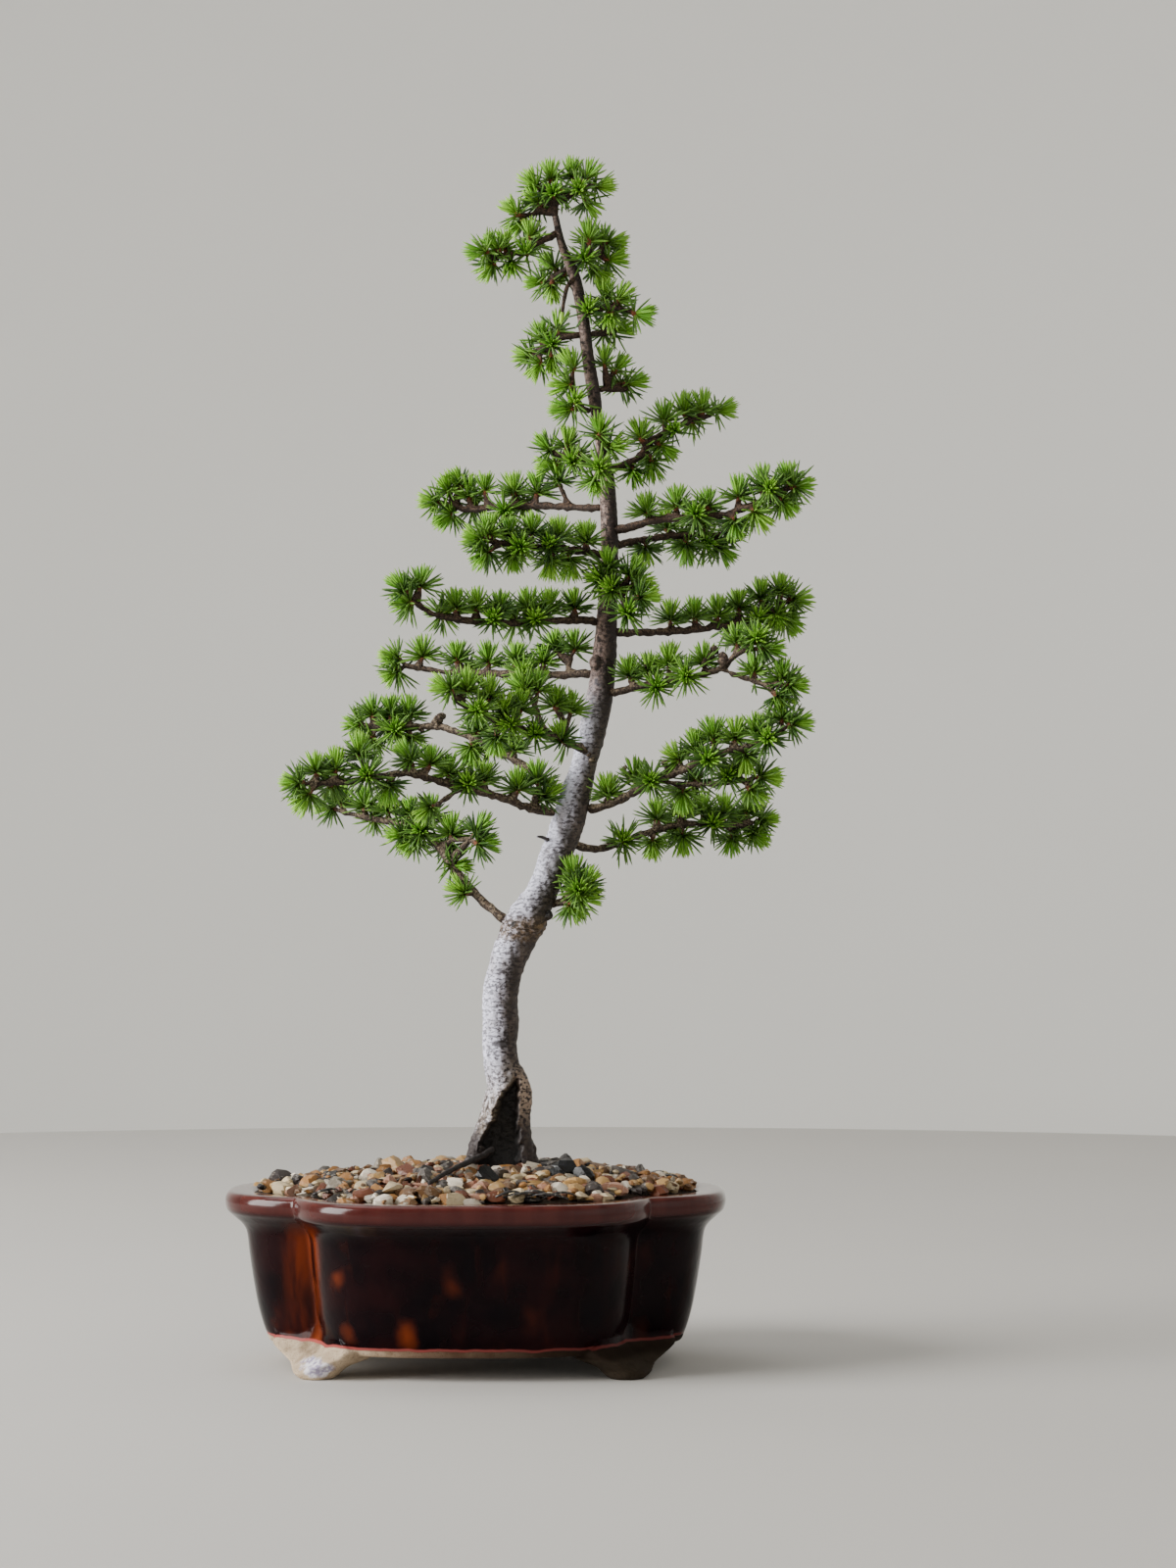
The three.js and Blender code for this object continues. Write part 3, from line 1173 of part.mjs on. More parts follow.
const MATERIALS = {
  glaze: { color: 0x2a0d0b, roughness: 0.15, metalness: 0 },
  mesh: { color: 0x1c1c1c, roughness: 0.6, metalness: 0 },
  soil: { color: 0x3a2c20, roughness: 0.95, metalness: 0 },
  gravel: { color: 0xa08a6c, roughness: 0.7, metalness: 0 },
  bark: { color: 0x8b8583, roughness: 0.8, metalness: 0 },
  foliage: { color: 0x3f7a1f, roughness: 0.55, metalness: 0 },
};

function mesh(name, solid, material) {
  const piece = new THREE.Mesh(
    toGeometry(solid),
    new THREE.MeshStandardMaterial({ name: material, ...MATERIALS[material] }),
  );
  piece.name = name;
  return piece;
}

const bonsai = new THREE.Group();
bonsai.name = "bonsai";
bonsai.add(
  mesh("pot", makePot(), "glaze"),
  mesh("drain_mesh_left", makeDrainMesh(-DRAIN_OFFSET), "mesh"),
  mesh("drain_mesh_right", makeDrainMesh(DRAIN_OFFSET), "mesh"),
  mesh("soil", makeSoil(), "soil"),
  mesh("gravel", makeGravel(), "gravel"),
  mesh("trunk", makeTrunk(), "bark"),
);
for (const [name, solid] of makeBranches()) bonsai.add(mesh(name, solid, "foliage"));

// The origin goes under the middle of the whole object's box.
const box = new THREE.Box3().setFromObject(bonsai);
const middle = box.getCenter(new THREE.Vector3());
bonsai.position.set(-middle.x, -middle.y, -box.min.z);

export default bonsai;
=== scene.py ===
# %% [markdown]
# # A young needle tree in a glazed pot
# This notebook dresses a bonsai for a picture. The tree, its soil and its pot come in as plain
# solids at their real size, and each is given the fine surface and the finish of the real thing.
# Lengths are in millimetres from the middle of the pot, on the surface the feet stand on, because
# a potter and a gardener would measure them so. One helper turns them into Blender's metres.

import bpy
import numpy as np
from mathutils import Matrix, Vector


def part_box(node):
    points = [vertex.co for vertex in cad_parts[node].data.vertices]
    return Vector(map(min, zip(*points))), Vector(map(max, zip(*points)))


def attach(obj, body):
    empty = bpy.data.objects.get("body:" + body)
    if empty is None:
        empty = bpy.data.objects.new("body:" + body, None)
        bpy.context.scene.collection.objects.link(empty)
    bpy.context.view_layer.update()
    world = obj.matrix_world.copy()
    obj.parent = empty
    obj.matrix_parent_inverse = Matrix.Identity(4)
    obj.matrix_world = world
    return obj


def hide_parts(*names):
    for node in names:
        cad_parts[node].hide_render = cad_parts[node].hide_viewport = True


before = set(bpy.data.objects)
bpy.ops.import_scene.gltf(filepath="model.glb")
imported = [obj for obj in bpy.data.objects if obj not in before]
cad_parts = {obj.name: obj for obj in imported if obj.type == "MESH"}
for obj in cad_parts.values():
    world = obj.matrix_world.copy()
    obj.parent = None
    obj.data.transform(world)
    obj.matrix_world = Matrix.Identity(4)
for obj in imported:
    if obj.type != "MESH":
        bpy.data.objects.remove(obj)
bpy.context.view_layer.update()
MM = 0.001
pot_low, pot_high = (np.array(corner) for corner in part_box("pot"))
POT_MIDDLE = np.array([(pot_low[0] + pot_high[0]) / 2, (pot_low[1] + pot_high[1]) / 2, 0])
FOLIAGE = [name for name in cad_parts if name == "crown" or name.startswith("branch_")]
print(len(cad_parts), "solids,", len(FOLIAGE), "of them foliage, middle at", POT_MIDDLE)


def to_scene(points):
    """Points in millimetres from the pot's middle, as metres in the solids' own frame."""
    return np.asarray(points, float) * MM + POT_MIDDLE


def to_pot(points):
    """The other way round: metres in the solids' frame, as millimetres from the pot's middle."""
    return (np.asarray(points, float) - POT_MIDDLE) / MM


# %% [markdown]
# ## Where the picture is taken from
# The eye is 1.6 metres in front of the pot's middle, about as high as the lower knot of the trunk.
# Width on the picture falls off with distance, so the eye's distance matters as much as its height:
# the far rim of the pot shows only because the eye is higher than it.

# %% The camera
EYE = (56.75, -1600, 229)
LOOK_UP = np.radians(2.27)
FOCAL_LENGTH = 72
FILM_WIDTH = 36


def put(name, data):
    """A new object in the scene that holds a mesh, a lamp or a camera."""
    thing = bpy.data.objects.new(name, data)
    bpy.context.scene.collection.objects.link(thing)
    return thing


lens = bpy.data.cameras.new("camera")
lens.lens = FOCAL_LENGTH
lens.sensor_width = FILM_WIDTH
camera = put("camera", lens)
camera.location = to_scene(EYE)
camera.rotation_euler = (np.pi / 2 + LOOK_UP, 0, 0)
bpy.context.scene.camera = camera
print("camera at", tuple(round(value, 3) for value in camera.location))

# %% [markdown]
# ## A finish as a sum of wires
# A material in Blender is a net of nodes joined by wires. Written node by node it hides its own
# idea, so a small class wraps one wire and lets Python's signs add the Math nodes: `1 - mask` is
# then a node too. A second class holds the material, and one method adds any other node. Most
# finishes below are coats of paint over a ground, each with a mask that says where it lies.


# %% Colours and wires
def colour(red, green, blue):
    """A colour as a paint chart gives it, 0 to 255, in the linear light that shaders use."""
    share = np.array([red, green, blue]) / 255
    linear = np.where(share > 0.04045, ((share + 0.055) / 1.055) ** 2.4, share / 12.92)
    return (*linear.tolist(), 1.0)


class Wire:
    """One output of a node. Signs between wires and numbers add Math nodes."""

    def __init__(self, finish, socket):
        self.finish = finish
        self.socket = socket

    def math(self, operation, first, second):
        return self.finish.node("ShaderNodeMath", {"operation": operation}, {0: first, 1: second})

    def __add__(self, other):
        return self.math("ADD", self, other)

    def __sub__(self, other):
        return self.math("SUBTRACT", self, other)

    def __rsub__(self, other):
        return self.math("SUBTRACT", other, self)

    def __mul__(self, other):
        return self.math("MULTIPLY", self, other)

    __radd__ = __add__
    __rmul__ = __mul__

    def spread(self):
        """The square, so that sums of spreads are zero at one place only."""
        return self.math("MULTIPLY", self, self)

    def between(self, low, high):
        """0 below low, 1 above high, and a smooth step in between."""
        settings = {"interpolation_type": "SMOOTHSTEP"}
        return self.finish.node("ShaderNodeMapRange", settings, {0: self, 1: low, 2: high})

    def band(self, rise, fall):
        """1 from the end of the rise to the start of the fall, and 0 outside both."""
        return self.between(*rise) * (1 - self.between(*fall))


print("the dark red of the lip is", tuple(round(value, 4) for value in colour(62, 16, 13)))


# %% Finishes
class Finish:
    """A material with one Principled shader, and the one method that adds any node to it."""

    def __init__(self, name, **constants):
        self.material = bpy.data.materials.new(name)
        self.material.use_nodes = True
        self.tree = self.material.node_tree
        self.shader = self.tree.nodes["Principled BSDF"]
        self.places = {}
        self.set(**constants)

    def node(self, kind, settings=None, sockets=None, out=0):
        """A node of a kind. Its settings come first, then the values or wires of its sockets."""
        node = self.tree.nodes.new(kind)
        for key, value in (settings or {}).items():
            if key == "stops":
                self.set_stops(node.color_ramp, value)
            else:
                setattr(node, key, value)
        for key, value in (sockets or {}).items():
            self.plug(node.inputs[key], value)
        return Wire(self, node.outputs[out])

    def plug(self, socket, value):
        """Joins a wire to a socket, or sets the socket's own value."""
        if isinstance(value, Wire):
            self.tree.links.new(value.socket, socket)
        else:
            socket.default_value = value

    @staticmethod
    def set_stops(ramp, stops):
        """Steps of colour, each from its own place on the ramp up to the next."""
        ramp.interpolation = "CONSTANT"
        while len(ramp.elements) < len(stops):
            ramp.elements.new(0.5)
        for element, (position, paint) in zip(ramp.elements, stops):
            element.position = position
            element.color = colour(*paint)

    def set(self, **values):
        """Values or wires for the shader's own sockets, with _ for the blanks in their names."""
        for socket, value in values.items():
            self.plug(self.shader.inputs[socket.replace("_", " ")], value)

    def place(self, stretch=(1, 1, 1)):
        """The place on the object in millimetres from the solids' origin, times stretch."""
        if stretch not in self.places:
            where = self.node("ShaderNodeTexCoord", out="Object")
            sockets = {"Vector": where, "Scale": tuple(value / MM for value in stretch)}
            self.places[stretch] = self.node("ShaderNodeMapping", {}, sockets)
        return self.places[stretch]

    def axis(self, name, vector=None):
        """One coordinate of the place on the object, or of another vector."""
        return self.node("ShaderNodeSeparateXYZ", {}, {0: vector or self.place()}, out=name)

    def attribute(self, name):
        """A number that is stored at every point of the mesh."""
        return self.node("ShaderNodeAttribute", {"attribute_name": name}, out="Fac")

    def noise(self, size, stretch=(1, 1, 1), detail=3, rough=0.5, bend=0):
        """Soft noise from 0 to 1 whose lumps are about size millimetres wide, and longer along an
        axis whose stretch is below 1."""
        sockets = {"Vector": self.place(stretch), "Scale": 1 / size, "Detail": detail}
        sockets |= {"Roughness": rough, "Distortion": bend}
        return self.node("ShaderNodeTexNoise", {}, sockets)

    def cells(self, size, stretch=(1, 1, 1)):
        """The way to the nearest of scattered points about size millimetres apart."""
        sockets = {"Vector": self.place(stretch), "Scale": 1 / size}
        return self.node("ShaderNodeTexVoronoi", {}, sockets, "Distance")

    def mix(self, low, high, factor):
        """The colour low where factor is 0 and high where it is 1. Each is a wire, or a paint with
        its red, green and blue from 0 to 255."""
        low, high = (side if isinstance(side, Wire) else colour(*side) for side in (low, high))
        return self.node("ShaderNodeMix", {"data_type": "RGBA"}, {0: factor, 6: low, 7: high}, 2)

    def coats(self, ground, *coats):
        """Coats of paint over a ground, each laid where its mask is 1."""
        for paint, mask in coats:
            ground = self.mix(ground, paint, mask)
        return ground

    def bump(self, height, depth, strength=1.0, under=None):
        """Normals as if the surface rose by depth millimetres where height is 1."""
        sockets = {"Height": height, "Distance": depth * MM, "Strength": strength}
        if under:
            sockets["Normal"] = under
        return self.node("ShaderNodeBump", {}, sockets)

    def facing(self, name):
        """One coordinate of the way that the surface faces, from -1 to 1."""
        return self.axis(name, self.node("ShaderNodeNewGeometry", out="Normal"))


print("masks and bumps are worked out in millimetres, and a metre has", round(1 / MM))

# %% [markdown]
# ## Meshes from whole arrays
# Every new surface here is worked out at once for all its points: a grid of rows, each row a closed
# ring. One helper lists the faces between the rings of any number of such skins, and one hands
# points and faces to Blender. Both ends of a skin are shut with one face, so nothing is left open.


# %% Skins and pieces
def skin_faces(skins, rows, sides):
    """Faces of closed skins: the four-sided ones between rows, and the two end faces."""
    row, side = np.meshgrid(np.arange(rows - 1), np.arange(sides), indexing="ij")
    corner = row * sides + side
    beside = row * sides + (side + 1) % sides
    quads = np.stack([corner, beside, beside + sides, corner + sides], -1).reshape(-1, 4)
    ends = np.array([np.arange(sides)[::-1], (rows - 1) * sides + np.arange(sides)])
    first = (np.arange(skins) * rows * sides)[:, None, None]
    return [(quads + first).reshape(-1, 4), (ends + first).reshape(-1, sides)]


def write_mesh(name, points, groups, attributes=None):
    """A mesh from points in millimetres and groups of faces with equally many corners."""
    mesh = bpy.data.meshes.new(name)
    corners = np.concatenate([group.ravel() for group in groups])
    sizes = np.concatenate([np.full(len(group), group.shape[1]) for group in groups])
    mesh.vertices.add(len(points))
    mesh.vertices.foreach_set("co", to_scene(points).ravel())
    mesh.loops.add(len(corners))
    mesh.loops.foreach_set("vertex_index", corners)
    mesh.polygons.add(len(sizes))
    mesh.polygons.foreach_set("loop_start", np.concatenate([[0], np.cumsum(sizes)[:-1]]))
    mesh.update(calc_edges=True)
    mesh.polygons.foreach_set("use_smooth", np.ones(len(sizes), bool))
    for key, values in (attributes or {}).items():
        layer = mesh.attributes.new(key, "FLOAT", "POINT")
        layer.data.foreach_set("value", np.asarray(values, np.float32))
    return mesh


def write_skins(name, skins, attributes=None):
    """A mesh of equal closed skins, given as one array of skin, row, side and place."""
    return write_mesh(name, skins.reshape(-1, 3), skin_faces(*skins.shape[:3]), attributes)


def joined(parts):
    """Points and groups of faces of several such arrays, numbered on from one to the next."""
    groups = []
    first = 0
    for skins in parts:
        groups += [group + first for group in skin_faces(*skins.shape[:3])]
        first += skins[..., 0].size
    return np.concatenate([skins.reshape(-1, 3) for skins in parts]), groups


def show(mesh, slot, *nodes, finishes=()):
    """Puts a mesh in the scene as a piece that stands for the named solids."""
    piece = put(mesh.name, mesh)
    for finish in finishes:
        mesh.materials.append(finish.material)
    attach(piece, "root")
    if nodes:
        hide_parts(*nodes)
    print(piece.name, "has", len(mesh.polygons), "faces")


# %% Lines, stems and lumps
def unit(vectors):
    """The same directions with length 1."""
    return vectors / np.maximum(np.linalg.norm(vectors, axis=-1, keepdims=True), 1e-9)


def ripple(points, size, seed):
    """Smooth uneven lumps about size millimetres wide, mostly from -1 to 1: twice the mean of eight
    sine waves that run through the points in directions drawn by the seed."""
    draw = np.random.default_rng(seed)
    ways = unit(draw.normal(size=(8, 3))) * (2 * np.pi / size) * draw.uniform(0.7, 1.5, (8, 1))
    phases = draw.uniform(0, 2 * np.pi, 8)
    return np.sin(np.asarray(points) @ ways.T + phases).mean(-1) * 2


def smooth_rows(stops, per_gap):
    """A smooth line through a list of stops: between two stops each value follows the cubic curve
    whose slope at a stop is half the way from the stop before it to the stop after it."""
    stops = np.asarray(stops, float)
    padded = np.concatenate([[2 * stops[0] - stops[1]], stops, [2 * stops[-1] - stops[-2]]])
    before, start, end, after = (padded[i : len(padded) - 3 + i, None] for i in range(4))
    t = (np.arange(per_gap) / per_gap)[None, :, None]
    line = 2 * start + (end - before) * t + (2 * before - 5 * start + 4 * end - after) * t**2
    line = (line + (3 * start - before - 3 * end + after) * t**3) / 2
    return np.concatenate([line.reshape(-1, stops.shape[1]), stops[-1:]])


def stacked(*parts):
    """Coordinates side by side in a last axis, each repeated as far as the others reach."""
    return np.stack(np.broadcast_arrays(*parts), -1)


def even_turns(sides):
    """Angles that go once round in even steps."""
    return 2 * np.pi * np.arange(sides) / sides


def ring(radius, height, sides):
    """The circle (radius cos a, radius sin a) at a height."""
    turn = even_turns(sides)
    return stacked(radius * np.cos(turn), radius * np.sin(turn), height)


def spokes(ways, turn):
    """Unit vectors square to each way: side cos a + other sin a for each angle a of turn, where
    side and other are square to the way and to each other."""
    helper = np.where(np.abs(ways[:, 2:]) < 0.8, [0.0, 0, 1], [1.0, 0, 0])
    side = unit(np.cross(helper, ways))
    other = np.cross(ways, side)
    return side[:, None] * np.cos(turn)[..., None] + other[:, None] * np.sin(turn)[..., None]


def tube(centres, radii, sides):
    """Rings of a round stem: centre + radius times the spokes round the way that it runs there."""
    ways = unit(np.gradient(centres, axis=0))
    return centres[:, None] + radii[:, None, None] * spokes(ways, even_turns(sides))


print("a line through 3 stops has", len(smooth_rows([[0, 0], [1, 1], [2, 0]], 8)), "points")

# %% [markdown]
# ## The pot's outline
# The potter pressed this pot in a mould whose plan is four rounded lobes, a pair at the ends and a
# pair at front and back. Each pair is one superellipse, and the outline follows whichever reaches
# further. Where they cross there is a groove, which the glaze softens, so a smooth maximum is used
# in place of a sharp one.

# %% Outline and profile of the pot
POT_LENGTH = 253
POT_DEPTH = 200
SIDE_LOBE_WIDTH = 132
FRONT_LOBE_WIDTH = 184
SIDE_LOBE_POWER = 2.8
FRONT_LOBE_POWER = 3.3
FRONT_LOBE_SHRINK = 0.72
GROOVE_ROUND = 1.6
RIM_WIDTH = 14.5
UNDERSIDE = 12
FLOOR = 19
PROFILE = [
    (22.6, 12.0), (21.9, 12.9), (21.3, 14.5), (19.2, 20.0), (16.7, 29), (14.6, 40), (13.0, 50),
    (12.0, 57), (11.2, 64), (10.2, 68), (8.2, 71), (5.8, 73.3), (3.2, 75.6), (1.2, 77.4),
    (0.3, 79.6), (0.0, 82), (0.3, 84.4), (1.3, 86.1), (3.2, 87.0), (8, 87.1), (12.4, 86.9),
    (14.2, 85.8), (14.9, 83), (17, 66), (20.5, 38), (25, 24), (30, FLOOR), (36, FLOOR),
]
POT_SIDES = 440
ROWS_PER_STOP = 4
GROOVE_ANGLE = 0.47
GROOVE_SPREAD = 0.12


def lobe_radius(angle, half_x, half_y, power):
    """Distance from the middle to a superellipse: (|cos/half_x|^p + |sin/half_y|^p)^(-1/p)."""
    across = np.abs(np.cos(angle) / half_x) ** power + np.abs(np.sin(angle) / half_y) ** power
    return across ** (-1 / power)


def pot_radius(angle, inset, melt=GROOVE_ROUND):
    """The further of the two pairs of lobes, rounded where they meet: the larger radius plus
    h^2 / 4k, where k is melt and h is what the difference of the two radii lacks of k."""
    side = lobe_radius(angle, POT_LENGTH / 2 - inset, SIDE_LOBE_WIDTH / 2 - inset, SIDE_LOBE_POWER)
    half_width = FRONT_LOBE_WIDTH / 2 - FRONT_LOBE_SHRINK * inset
    front = lobe_radius(angle, half_width, POT_DEPTH / 2 - inset, FRONT_LOBE_POWER)
    near = np.maximum(melt - np.abs(side - front), 0)
    return np.maximum(side, front) + near**2 / (4 * melt)


def pot_angles(count):
    """Angles round the pot, up to five times as close together near the four grooves."""
    even = np.linspace(0, 2 * np.pi, 4001)
    fold = np.arctan2(np.abs(np.sin(even)), np.abs(np.cos(even)))
    density = 1 + 4 * np.exp(-(((fold - GROOVE_ANGLE) / GROOVE_SPREAD) ** 2))
    total = np.concatenate([[0], np.cumsum((density[1:] + density[:-1]) / 2)])
    return np.interp(np.arange(count) / count * total[-1], total, even)


def pot_rings(profile, angles):
    """The outline at every level of a profile of inset and height."""
    radius = pot_radius(angles[None], profile[:, :1])
    return stacked(radius * np.cos(angles), radius * np.sin(angles), profile[:, 1:])


turns = pot_angles(POT_SIDES)
pot_profile = smooth_rows(PROFILE, ROWS_PER_STOP)
print("the pot's skin has", len(pot_profile), "rows of", len(turns))

# %% [markdown]
# ## Feet, drainage holes and the pot's skin
# Four bracket feet were pressed on at the grooves while the clay was soft. Each widens from a round
# toe, and is held back to within a short reach of the pot's own outline, so that its shoulder slopes
# into the wall as under the potter's thumb. A boolean union makes it one skin, and a difference
# cuts the two drainage holes.

# %% The pot
# Each level of a foot: its middle, its two half-widths, its height and its reach past the wall.
FOOT_LEVELS = [
    (75.5, 59.2, 7.6, 7.6, 0.0, 20), (75.5, 59.1, 8.6, 8.5, 0.25, 20),
    (75.5, 58.6, 10.2, 9.8, 1.3, 20), (75.5, 57.6, 11.9, 11.2, 2.8, 19),
    (75.5, 56.4, 13.8, 12.8, 4.4, 17.5), (75, 54.4, 17.4, 16.4, 6.4, 15),
    (73.8, 51, 23.2, 22, 8.6, 12.0), (73.6, 47.4, 28, 28, 11.2, 8.2), (74, 43.6, 31, 32, 14, 4.6),
    (75, 41.6, 29, 30, 17, 2.6), (76, 39.8, 25.6, 26, 21, 1.8), (76, 38, 19.6, 19.6, 26, 1),
]
WALL_FOOT_INSET = 21.3
FOOT_MELT = 13
FOOT_SIDES = 48
DRAIN_RADIUS = 8
DRAIN_OFFSET = 45
DRAIN_SIDES = 32
CUTTER_SPARE = 4


def foot_rings(sign_x, sign_y):
    """At each level an ellipse, pulled in where it is further out than the outline plus a reach."""
    levels = smooth_rows(FOOT_LEVELS, 2)
    angle = sign_x * sign_y * even_turns(FOOT_SIDES)
    x = levels[:, :1] + levels[:, 2:3] * np.cos(angle)
    y = levels[:, 1:2] + levels[:, 3:4] * np.sin(angle)
    furthest = pot_radius(np.arctan2(y, x), WALL_FOOT_INSET, FOOT_MELT) + levels[:, 5:]
    held = np.minimum(1, furthest / np.hypot(x, y))
    return stacked(sign_x * x * held, sign_y * y * held, levels[:, 4:5])


def solid_of(rings, name):
    """A scratch object for one closed skin."""
    return put(name, write_skins(name, rings[None]))


def finished_mesh(scratch, name):
    """The mesh that an object's modifiers make. The object itself is then thrown away."""
    depsgraph = bpy.context.evaluated_depsgraph_get()
    mesh = bpy.data.meshes.new_from_object(scratch.evaluated_get(depsgraph))
    mesh.name = name
    mesh.materials.clear()
    bpy.data.objects.remove(scratch)
    return mesh


def cut_or_join(body, tool, operation):
    """Puts a boolean with another object on a body."""
    modifier = body.modifiers.new("boolean", "BOOLEAN")
    modifier.object = tool
    modifier.operation = operation
    modifier.solver = "MANIFOLD"


pot_body = solid_of(pot_rings(pot_profile, turns), "pot_skin")
tools = []
for sign_x in (-1, 1):
    for sign_y in (-1, 1):
        tools.append(solid_of(foot_rings(sign_x, sign_y), "foot"))
        cut_or_join(pot_body, tools[-1], "UNION")
    ends = (UNDERSIDE - CUTTER_SPARE, FLOOR + CUTTER_SPARE)
    drain = np.array([ring(DRAIN_RADIUS, height, DRAIN_SIDES) for height in ends])
    tools.append(solid_of(drain + [sign_x * DRAIN_OFFSET, 0, 0], "drain"))
    cut_or_join(pot_body, tools[-1], "DIFFERENCE")
pot_mesh = finished_mesh(pot_body, "glazed_pot")
for tool in tools:
    bpy.data.objects.remove(tool)
pot_mesh.polygons.foreach_set("use_smooth", np.ones(len(pot_mesh.polygons), bool))
print("the pot has", len(pot_mesh.vertices), "points")

# %% [markdown]
# ## The glaze
# Oxblood glaze is almost black where it lies thick and breaks to brown and amber where it runs thin,
# over edges, down the grooves and in drops. It stops a little above the foot in a pink line, and
# below that the bare stoneware shows. One material holds both, with masks worked out from the place
# on the pot, because on the real pot they are one surface too.

# %% Where glaze, amber, drops and bare clay lie
# up is the height, and left and front are the ways from the pot's middle, all in millimetres.
glaze = Finish("glaze", Specular_IOR_Level=0.05, Coat_Roughness=0.15, Coat_IOR=1.34)
up = glaze.axis("Z")
left = float(POT_MIDDLE[0] / MM) - glaze.axis("X")
front = 0 - glaze.axis("Y")
streaks = glaze.noise(9, (1, 1, 0.12), detail=2, bend=0.3)
clouds = glaze.noise(28, detail=2)
grit = glaze.noise(0.8, detail=2)

above_line = up - glaze.noise(16, (1, 1, 0), detail=2) * 3.4
bare = 1 - above_line.between(13.2, 13.8)
line = above_line.band((13.2, 13.7), (14.4, 15.2))

near_groove = left.band((71, 78), (86, 98)) * front.between(20, 60)
amber = streaks.between(0.25, 0.6) * near_groove * 0.85 + streaks.between(0.5, 0.85) * 0.08
amber = amber * (1 - up.between(64, 80))
from_drop = glaze.cells(19, (1, 1, 0.6)) + glaze.noise(6, detail=1) * 0.2
drop = (1 - from_drop.between(0.08, 0.5)) * (left.between(-30, 50) * 0.85 + 0.15)
drop = drop * (1 - up.between(56, 72)) * glaze.noise(24, detail=1).between(0.36, 0.6)
lip_edge = up.between(77.4, 80.4) * 0.3 + up.between(84.3, 86.4) * 0.4
# A pool of glaze on the left foot: it is glossy, and its pale lilac-white tint is a painted
# highlight.
pool_and_highlight = ((left - 75) * 0.095).spread() + ((up - 6) * 0.2).spread() + glaze.noise(4) * 1.6
pool_and_highlight = (1 - pool_and_highlight.between(1.1, 1.7)) * front.between(50, 58)
print("the masks of the glaze take", len(glaze.tree.nodes), "nodes")

# %% Finish of the pot
glazed = glaze.coats(
    (5, 1, 4),
    ((24, 5, 7), clouds.between(0.35, 0.7)),  # clouds in the thick glaze
    ((62, 16, 13), up.between(75, 80) * 0.6),  # the lip, where it ran thin
    ((122, 60, 52), lip_edge * (streaks.between(0.3, 0.7) * 0.3 + 0.24)),  # its two edges
    ((120, 46, 12), amber * 0.72),
    ((128, 54, 22), drop * 0.66),
    ((168, 82, 78), line * (left.between(-80, 80) * 0.5 + 0.25)),  # the pink line
)
painted_highlight_tint = glaze.mix((148, 140, 168), (226, 224, 232), glaze.noise(3).between(0.4, 0.6))
clay = glaze.coats(
    (148, 128, 104),
    ((208, 188, 162), glaze.noise(5, detail=4)),
    ((84, 66, 50), grit.between(0.56, 0.7) * 0.6),  # grains
    ((104, 86, 64), glaze.noise(14).between(0.48, 0.66) * 0.7),  # stains
    ((84, 58, 44), (1 - left.between(20, 66)) * up.between(8.5, 11.5) * 0.8),  # painted shade on the clay band under the glaze, away from the lit left
    ((22, 16, 12), (1 - left.between(-60, 50)) * 0.94),  # painted shade on the right side, away from the daylight
    (painted_highlight_tint, pool_and_highlight * 0.9),  # a glossy pool of glaze on the left foot, with a painted highlight in its pale tint
)
skin_colour = glaze.mix(glazed, clay, bare)
bare = bare * (1 - pool_and_highlight)
waves = glaze.noise(3, detail=2) * 0.3 + glaze.noise(14, detail=1)
relief = glaze.bump(waves * (1 - bare), 0.45, 0.8)
glaze.set(
    Base_Color=skin_colour,
    Roughness=bare * 0.56 + 0.15 + clouds * 0.05,
    Coat_Weight=(1 - bare) * (up.between(73, 80) * 0.76 + up.between(17, 27) * 0.12),
    Normal=glaze.bump(grit * bare, 0.25, 0.8, under=relief),
)
show(pot_mesh, "glaze", "pot", finishes=[glaze])

# %% [markdown]
# ## The trunk as a circle carried up a line
# A trunk grows as rings round a line, so it is made as one: a circle whose middle and radius follow
# a short list of measured heights. Roots, ribs, knots and the hollow between the two root legs are
# then moves of the circle's points in or out, which keeps the whole skin in one piece.

# %% Middle line and radius of the trunk
TRUNK = [
    (13, 0, 70, 15), (13, 0, 96, 16.5), (13, 0, 105, 16), (14, 0, 115, 13.8), (15.2, 0, 125, 12.2),
    (16.5, 0, 135, 11.6), (15.8, 0, 141, 10.3), (13.2, 0, 148, 9.1), (11.8, 0, 160, 8.6),
    (12.5, -1, 170, 9.2), (12, -1, 181, 8.8), (13.2, -2, 191, 8.8), (17, -2, 205, 9.2),
    (21.5, -2, 215, 9.3), (24.2, -2, 221, 10.2), (28.5, -2, 229, 9), (32, -2, 235, 8.2),
    (36.5, -1, 245, 7.8), (40, -1, 255, 8.2), (44, 0, 265, 8.2), (48.5, 0, 280, 8.4),
    (52.5, 1, 295, 6.9), (55.3, 1, 305, 6.5), (59, 1, 320, 7.1), (61.5, 1, 330, 6.8),
    (63.8, 2, 345, 6.5), (65.8, 2, 365, 5.9), (67.3, 2, 395, 4.6), (67.8, 2, 415, 4.5),
    (66.8, 1, 445, 4.1), (64, 1, 465, 3.2), (61.5, 1, 480, 2.8), (60.2, 1, 490, 3.4),
    (57, 1, 510, 3.2), (53.8, 0, 535, 3), (49.3, 0, 555, 2.9), (43.3, 0, 570, 2.1),
    (40, 0, 584.5, 1.7),
]
TRUNK_SIDES = 80
ROW_STEP = 0.8
FLARE_TOP = 150
FLARE_DEPTH = 60
HOLLOW_BACK = -1
HOLLOW_TOP = 143.5
HOLLOW_LEFT = [
    (88, -1), (104, -0.5), (109, 1.6), (116, 4.8), (123, 9.6), (132, 11.5), (138, 16),
    (HOLLOW_TOP, 21),
]
HOLLOW_RIGHT = [(88, 22.5), (107, 22.3), (115, 21.8), (126, 21), (136, 21.4), (HOLLOW_TOP, 21.2)]
KNOT_HEIGHT = 219.5


